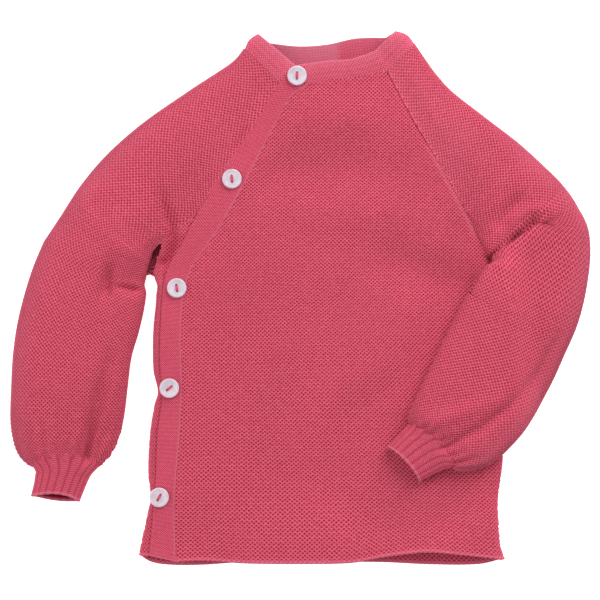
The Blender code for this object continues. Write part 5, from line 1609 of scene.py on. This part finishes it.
def fine_knit_finish(name, wool, gap_shade_colour, strand_colour, sheen):
    """Fine band knitting: small close stitches, or ribs of chevrons, with their gaps and furrows
    painted dark as painted shade.
    """
    finish = Finish(name, 0.88)
    u, v = stitch_coordinates(finish)
    ribbed = finish.point_value("ribbed")
    rows = (v * math.tau).cos()
    crossing = rows * (u * math.tau).cos()
    # painted shade: gaps between the stitches and furrows between the ribs are painted dark
    plain_gap = finish.smooth(crossing * -1.0, 0.0, 0.7) * 0.9
    plain_strand = finish.smooth(crossing, 0.0, 0.9)
    off_rib = abs(u - u.math("ROUND", u))
    furrow = finish.smooth(off_rib, 0.28, 0.5) * 0.6
    chevron = ((v + off_rib * 1.5) * math.tau).cos()
    rib_gap = furrow.above(finish.smooth(chevron * -1.0, 0.3, 1.0) * 0.55)
    rib_strand = finish.smooth(chevron, 0.0, 0.9) * (1 - furrow)
    gap = plain_gap + (rib_gap - plain_gap) * ribbed
    strand = plain_strand + (rib_strand - plain_strand) * ribbed
    fibre = finish.clouds(0.32, 0.68, 2800.0, 3.0, 0.7)
    slow = finish.clouds(0.3, 0.7, 35.0, 3.0)
    tone = finish.point_value("tone")
    colour = finish.mix(slow, scaled(wool, 0.95), scaled(wool, 1.05))
    colour = finish.mix(strand * 0.8, colour, strand_colour)
    colour = finish.mix(gap, colour, gap_shade_colour)
    uneven = finish.clouds(0.35, 0.65, 900.0, 2.0)
    rungs = (v * math.pi).cos() * (1 - ribbed) * uneven
    colour = finish.mix(finish.smooth(rungs, 0.1, 1.0) * 0.3, colour, strand_colour)
    colour = finish.mix(finish.smooth(rungs * -1.0, 0.1, 1.0) * 0.24, colour, gap_shade_colour)
    colour = finish.mix(fibre * 0.3, colour, scaled(wool, 0.75))
    # tone above 0: paler edge cords and cuff edges, and painted light on the back neckband
    colour = finish.mix((tone * 0.3).above(0.0), colour, PALE_BAND)
    # tone below 0: a slightly darker cuff, and painted shade in a cuff's mouth
    colour = finish.mix((tone * -0.85).above(0.0), colour, scaled(gap_shade_colour, 0.4))
    finish.feed("Base Color", colour)
    wool_shader(finish, sheen)
    finish.bump(strand * 0.35 - gap * 0.6 + fibre * 0.3, 0.7, 0.0004)
    return finish.material


def shell_finish(name, colour):
    """Mother of pearl: pale, cloudy, with a clear polish."""
    finish = Finish(name, 0.24)
    clouds = finish.clouds(0.3, 0.7, 160.0, 4.0, 0.6)
    streaks = finish.clouds(0.35, 0.75, 420.0, 2.0, 0.5)
    shade = finish.mix(clouds, scaled(colour, 0.86), scaled(colour, 1.06))
    shade = finish.mix(streaks * 0.35, shade, PEARL_STREAK)
    finish.feed("Base Color", shade)
    finish.shader.inputs["Coat Weight"].default_value = 0.5
    finish.shader.inputs["Coat Roughness"].default_value = 0.08
    return finish.material


def thread_finish(name, wool):
    finish = Finish(name, 0.8)
    twist = finish.clouds(0.35, 0.65, 1800.0, 2.0)
    finish.feed("Base Color", finish.mix(twist, scaled(wool, 0.7), scaled(wool, 1.15)))
    return finish.material


# ---------------------------------------------------------------- what a user may change

def colour_setting(name, description, default):
    return bpy.props.FloatVectorProperty(
        name=name, description=description, subtype="COLOR", size=3, min=0.0, max=1.0,
        default=default)


class JumperWool(bpy.types.PropertyGroup):
    """Colours of the wool."""
    wool: colour_setting("Wool", "Colour of the knitted panels", (0.66, 0.072, 0.126))
    # the gap colour is painted shade between the stitches
    gap: colour_setting("Gaps", "Colour deep between the stitches", (0.40, 0.008, 0.032))
    strand: colour_setting("Strands", "Colour of the raised strands", (0.90, 0.190, 0.285))
    band: colour_setting("Bands", "Colour of the band, cuffs and neckband",
                         (0.72, 0.092, 0.160))
    sheen: bpy.props.FloatProperty(
        name="Sheen", description="Strength of the pale hairs over the wool",
        subtype="FACTOR", min=0.0, max=1.0, default=0.10)


class JumperTrim(bpy.types.PropertyGroup):
    """Buttons and the stage."""
    shell: colour_setting("Shell", "Colour of the buttons", (0.66, 0.58, 0.66))
    floor: colour_setting("Floor", "Colour of the floor", (0.95, 0.95, 0.95))
    floor_size: bpy.props.FloatProperty(
        name="Floor size", description="Side of the floor", unit="LENGTH", min=1.0,
        default=8.0)
    camera_height: bpy.props.FloatProperty(
        name="Camera height", description="Height of the camera above the floor",
        unit="LENGTH", min=0.5, default=2.0)


# ---------------------------------------------------------------- operators

SENSOR_WIDTH = 36.0
PHOTO_HALF_WIDTH = 0.174        # the picture shows this much to each side
PHOTO_PLANE = 0.01              # at this height above the floor
PHOTO_MIDDLE_Y = -0.00087
FLOOR_GLOW = 0.8
SKY_STRENGTH = 0.5


def settle(piece, node, material):
    """Give a knitted piece its finish and its place among the solids."""
    piece.data.materials.append(material)
    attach(piece, "root")
    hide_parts(node)


def panel_material():
    made = bpy.data.materials.get("jersey")
    if made is None:
        wool = bpy.context.scene.jumper_wool
        made = knit_finish("jersey", wool.wool, wool.gap, wool.strand, wool.sheen)
    return made


def band_material():
    made = bpy.data.materials.get("fine_band")
    if made is None:
        wool = bpy.context.scene.jumper_wool
        made = fine_knit_finish("fine_band", wool.band, wool.gap, wool.strand, wool.sheen)
    return made


class JUMPER_OT_body(bpy.types.Operator):
    """Knit the back, the under front and the front"""
    bl_idname = "jumper.body"
    bl_label = "Knit the body"

    def execute(self, context):
        cloth = panel_material()
        settle(build_back(), "back", cloth)
        settle(build_under_front(), "under_front", cloth)
        settle(build_front(), "front", cloth)
        return {"FINISHED"}


class JUMPER_OT_sleeves(bpy.types.Operator):
    """Knit the straight right sleeve and the bent left sleeve"""
    bl_idname = "jumper.sleeves"
    bl_label = "Knit the sleeves"

    def execute(self, context):
        cloth = panel_material()
        # painted light on each shoulder: a little greyer on the right sleeve, paler on the left
        right = sleeve_sheet("sleeve_right_knit", SLEEVE_RIGHT, half_width=78.0, seed=3,
                             shoulder_light_tone=-0.1, inside_out=True)
        settle(right, "sleeve_right", cloth)
        left = sleeve_sheet("sleeve_left_knit", SLEEVE_LEFT, half_width=72.0, seed=8,
                            shoulder_light_tone=0.3, inside_out=False)
        settle(left, "sleeve_left", cloth)
        return {"FINISHED"}


class JUMPER_OT_bands(bpy.types.Operator):
    """Knit the button band, the cuffs and the neckband"""
    bl_idname = "jumper.bands"
    bl_label = "Knit the bands"

    def execute(self, context):
        cloth = band_material()
        settle(build_placket(), "placket", cloth)
        right = cuff_sheet("cuff_right_knit", SLEEVE_RIGHT, recess=0.17, back_recess=0.0,
                           bow=1.3, inside_out=True)
        settle(right, "cuff_right", cloth)
        left = cuff_sheet("cuff_left_knit", SLEEVE_LEFT, recess=0.13, back_recess=0.1,
                          bow=0.0, inside_out=False)
        settle(left, "cuff_left", cloth)
        settle(build_neckband(), "neckband", cloth)
        return {"FINISHED"}


class JUMPER_OT_buttons(bpy.types.Operator):
    """Turn the five shell buttons and lay their threads"""
    bl_idname = "jumper.buttons"
    bl_label = "Make the buttons"

    def execute(self, context):
        trim = context.scene.jumper_trim
        shell = shell_finish("pearl_shell", trim.shell)
        thread = thread_finish("button_thread", context.scene.jumper_wool.wool)
        for number, button in enumerate(BUTTONS, start=1):
            disc = add_button(number, button)
            disc.data.materials.append(shell)
            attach(disc, "root")
            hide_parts(f"button_{number}")
            strands = add_button_thread(number, button)
            strands.data.materials.append(thread)
            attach(strands, "root")
        return {"FINISHED"}


class JUMPER_OT_stage(bpy.types.Operator):
    """Lay the floor and set the light and the camera"""
    bl_idname = "jumper.stage"
    bl_label = "Set the stage"

    def execute(self, context):
        trim = context.scene.jumper_trim
        mesh = bmesh.new()
        bmesh.ops.create_grid(mesh, x_segments=1, y_segments=1, size=trim.floor_size / 2)
        floor = new_piece("floor", mesh)
        paper = Finish("paper", 0.9)
        paper.shader.inputs["Base Color"].default_value = (*trim.floor, 1.0)
        paper.shader.inputs["Emission Color"].default_value = (1.0, 1.0, 1.0, 1.0)
        paper.shader.inputs["Emission Strength"].default_value = FLOOR_GLOW
        floor.data.materials.append(paper.material)
        world = bpy.data.worlds.new("soft_room")
        world.use_nodes = True
        sky = world.node_tree.nodes["Background"]
        sky.inputs["Color"].default_value = (1.0, 1.0, 1.0, 1.0)
        sky.inputs["Strength"].default_value = SKY_STRENGTH
        context.scene.world = world
        add_lamp("window", place=(0.8, 1.2, 1.0), size=1.3, power=24.0)
        add_lamp("fill", place=(-1.3, 0.0, 1.2), size=1.8, power=14.0)
        lens = bpy.data.cameras.new("view")
        lens.sensor_width = SENSOR_WIDTH
        lens.lens = SENSOR_WIDTH / 2 * (trim.camera_height - PHOTO_PLANE) / PHOTO_HALF_WIDTH
        lens.clip_start = 0.05
        camera = bpy.data.objects.new("view", lens)
        camera.location = (0.0, PHOTO_MIDDLE_Y, trim.camera_height)
        context.scene.collection.objects.link(camera)
        context.scene.camera = camera
        context.scene.view_settings.view_transform = "Standard"
        return {"FINISHED"}


def add_lamp(name, place, size, power):
    """A soft square lamp that faces the garment."""
    lamp = bpy.data.lights.new(name, "AREA")
    lamp.shape = "SQUARE"
    lamp.size = size
    lamp.energy = power
    holder = bpy.data.objects.new(name, lamp)
    holder.location = place
    holder.rotation_euler = Vector(place).to_track_quat("Z", "Y").to_euler()
    bpy.context.scene.collection.objects.link(holder)


class JUMPER_PT_panel(bpy.types.Panel):
    """Lists the jumper's sizes and colours, and its pieces"""
    bl_idname = "JUMPER_PT_panel"
    bl_label = "Knitted wrap jumper"
    bl_space_type = "VIEW_3D"
    bl_region_type = "UI"
    bl_category = "Jumper"

    def draw(self, context):
        for group in (context.scene.jumper_wool, context.scene.jumper_trim):
            box = self.layout.box()
            for label in group.__annotations__:
                box.prop(group, label)
        for operator in STEPS:
            self.layout.operator(operator.bl_idname)


STEPS = (JUMPER_OT_stage, JUMPER_OT_body, JUMPER_OT_sleeves, JUMPER_OT_bands,
         JUMPER_OT_buttons)
CLASSES = (JumperWool, JumperTrim, *STEPS, JUMPER_PT_panel)


def register():
    for entry in CLASSES:
        bpy.utils.register_class(entry)
    bpy.types.Scene.jumper_wool = bpy.props.PointerProperty(type=JumperWool)
    bpy.types.Scene.jumper_trim = bpy.props.PointerProperty(type=JumperTrim)


def unregister():
    del bpy.types.Scene.jumper_trim
    del bpy.types.Scene.jumper_wool
    for entry in reversed(CLASSES):
        bpy.utils.unregister_class(entry)


def main():
    register()
    for step in STEPS:
        group, name = step.bl_idname.split(".")
        getattr(getattr(bpy.ops, group), name)()


if __name__ == "__main__":
    main()
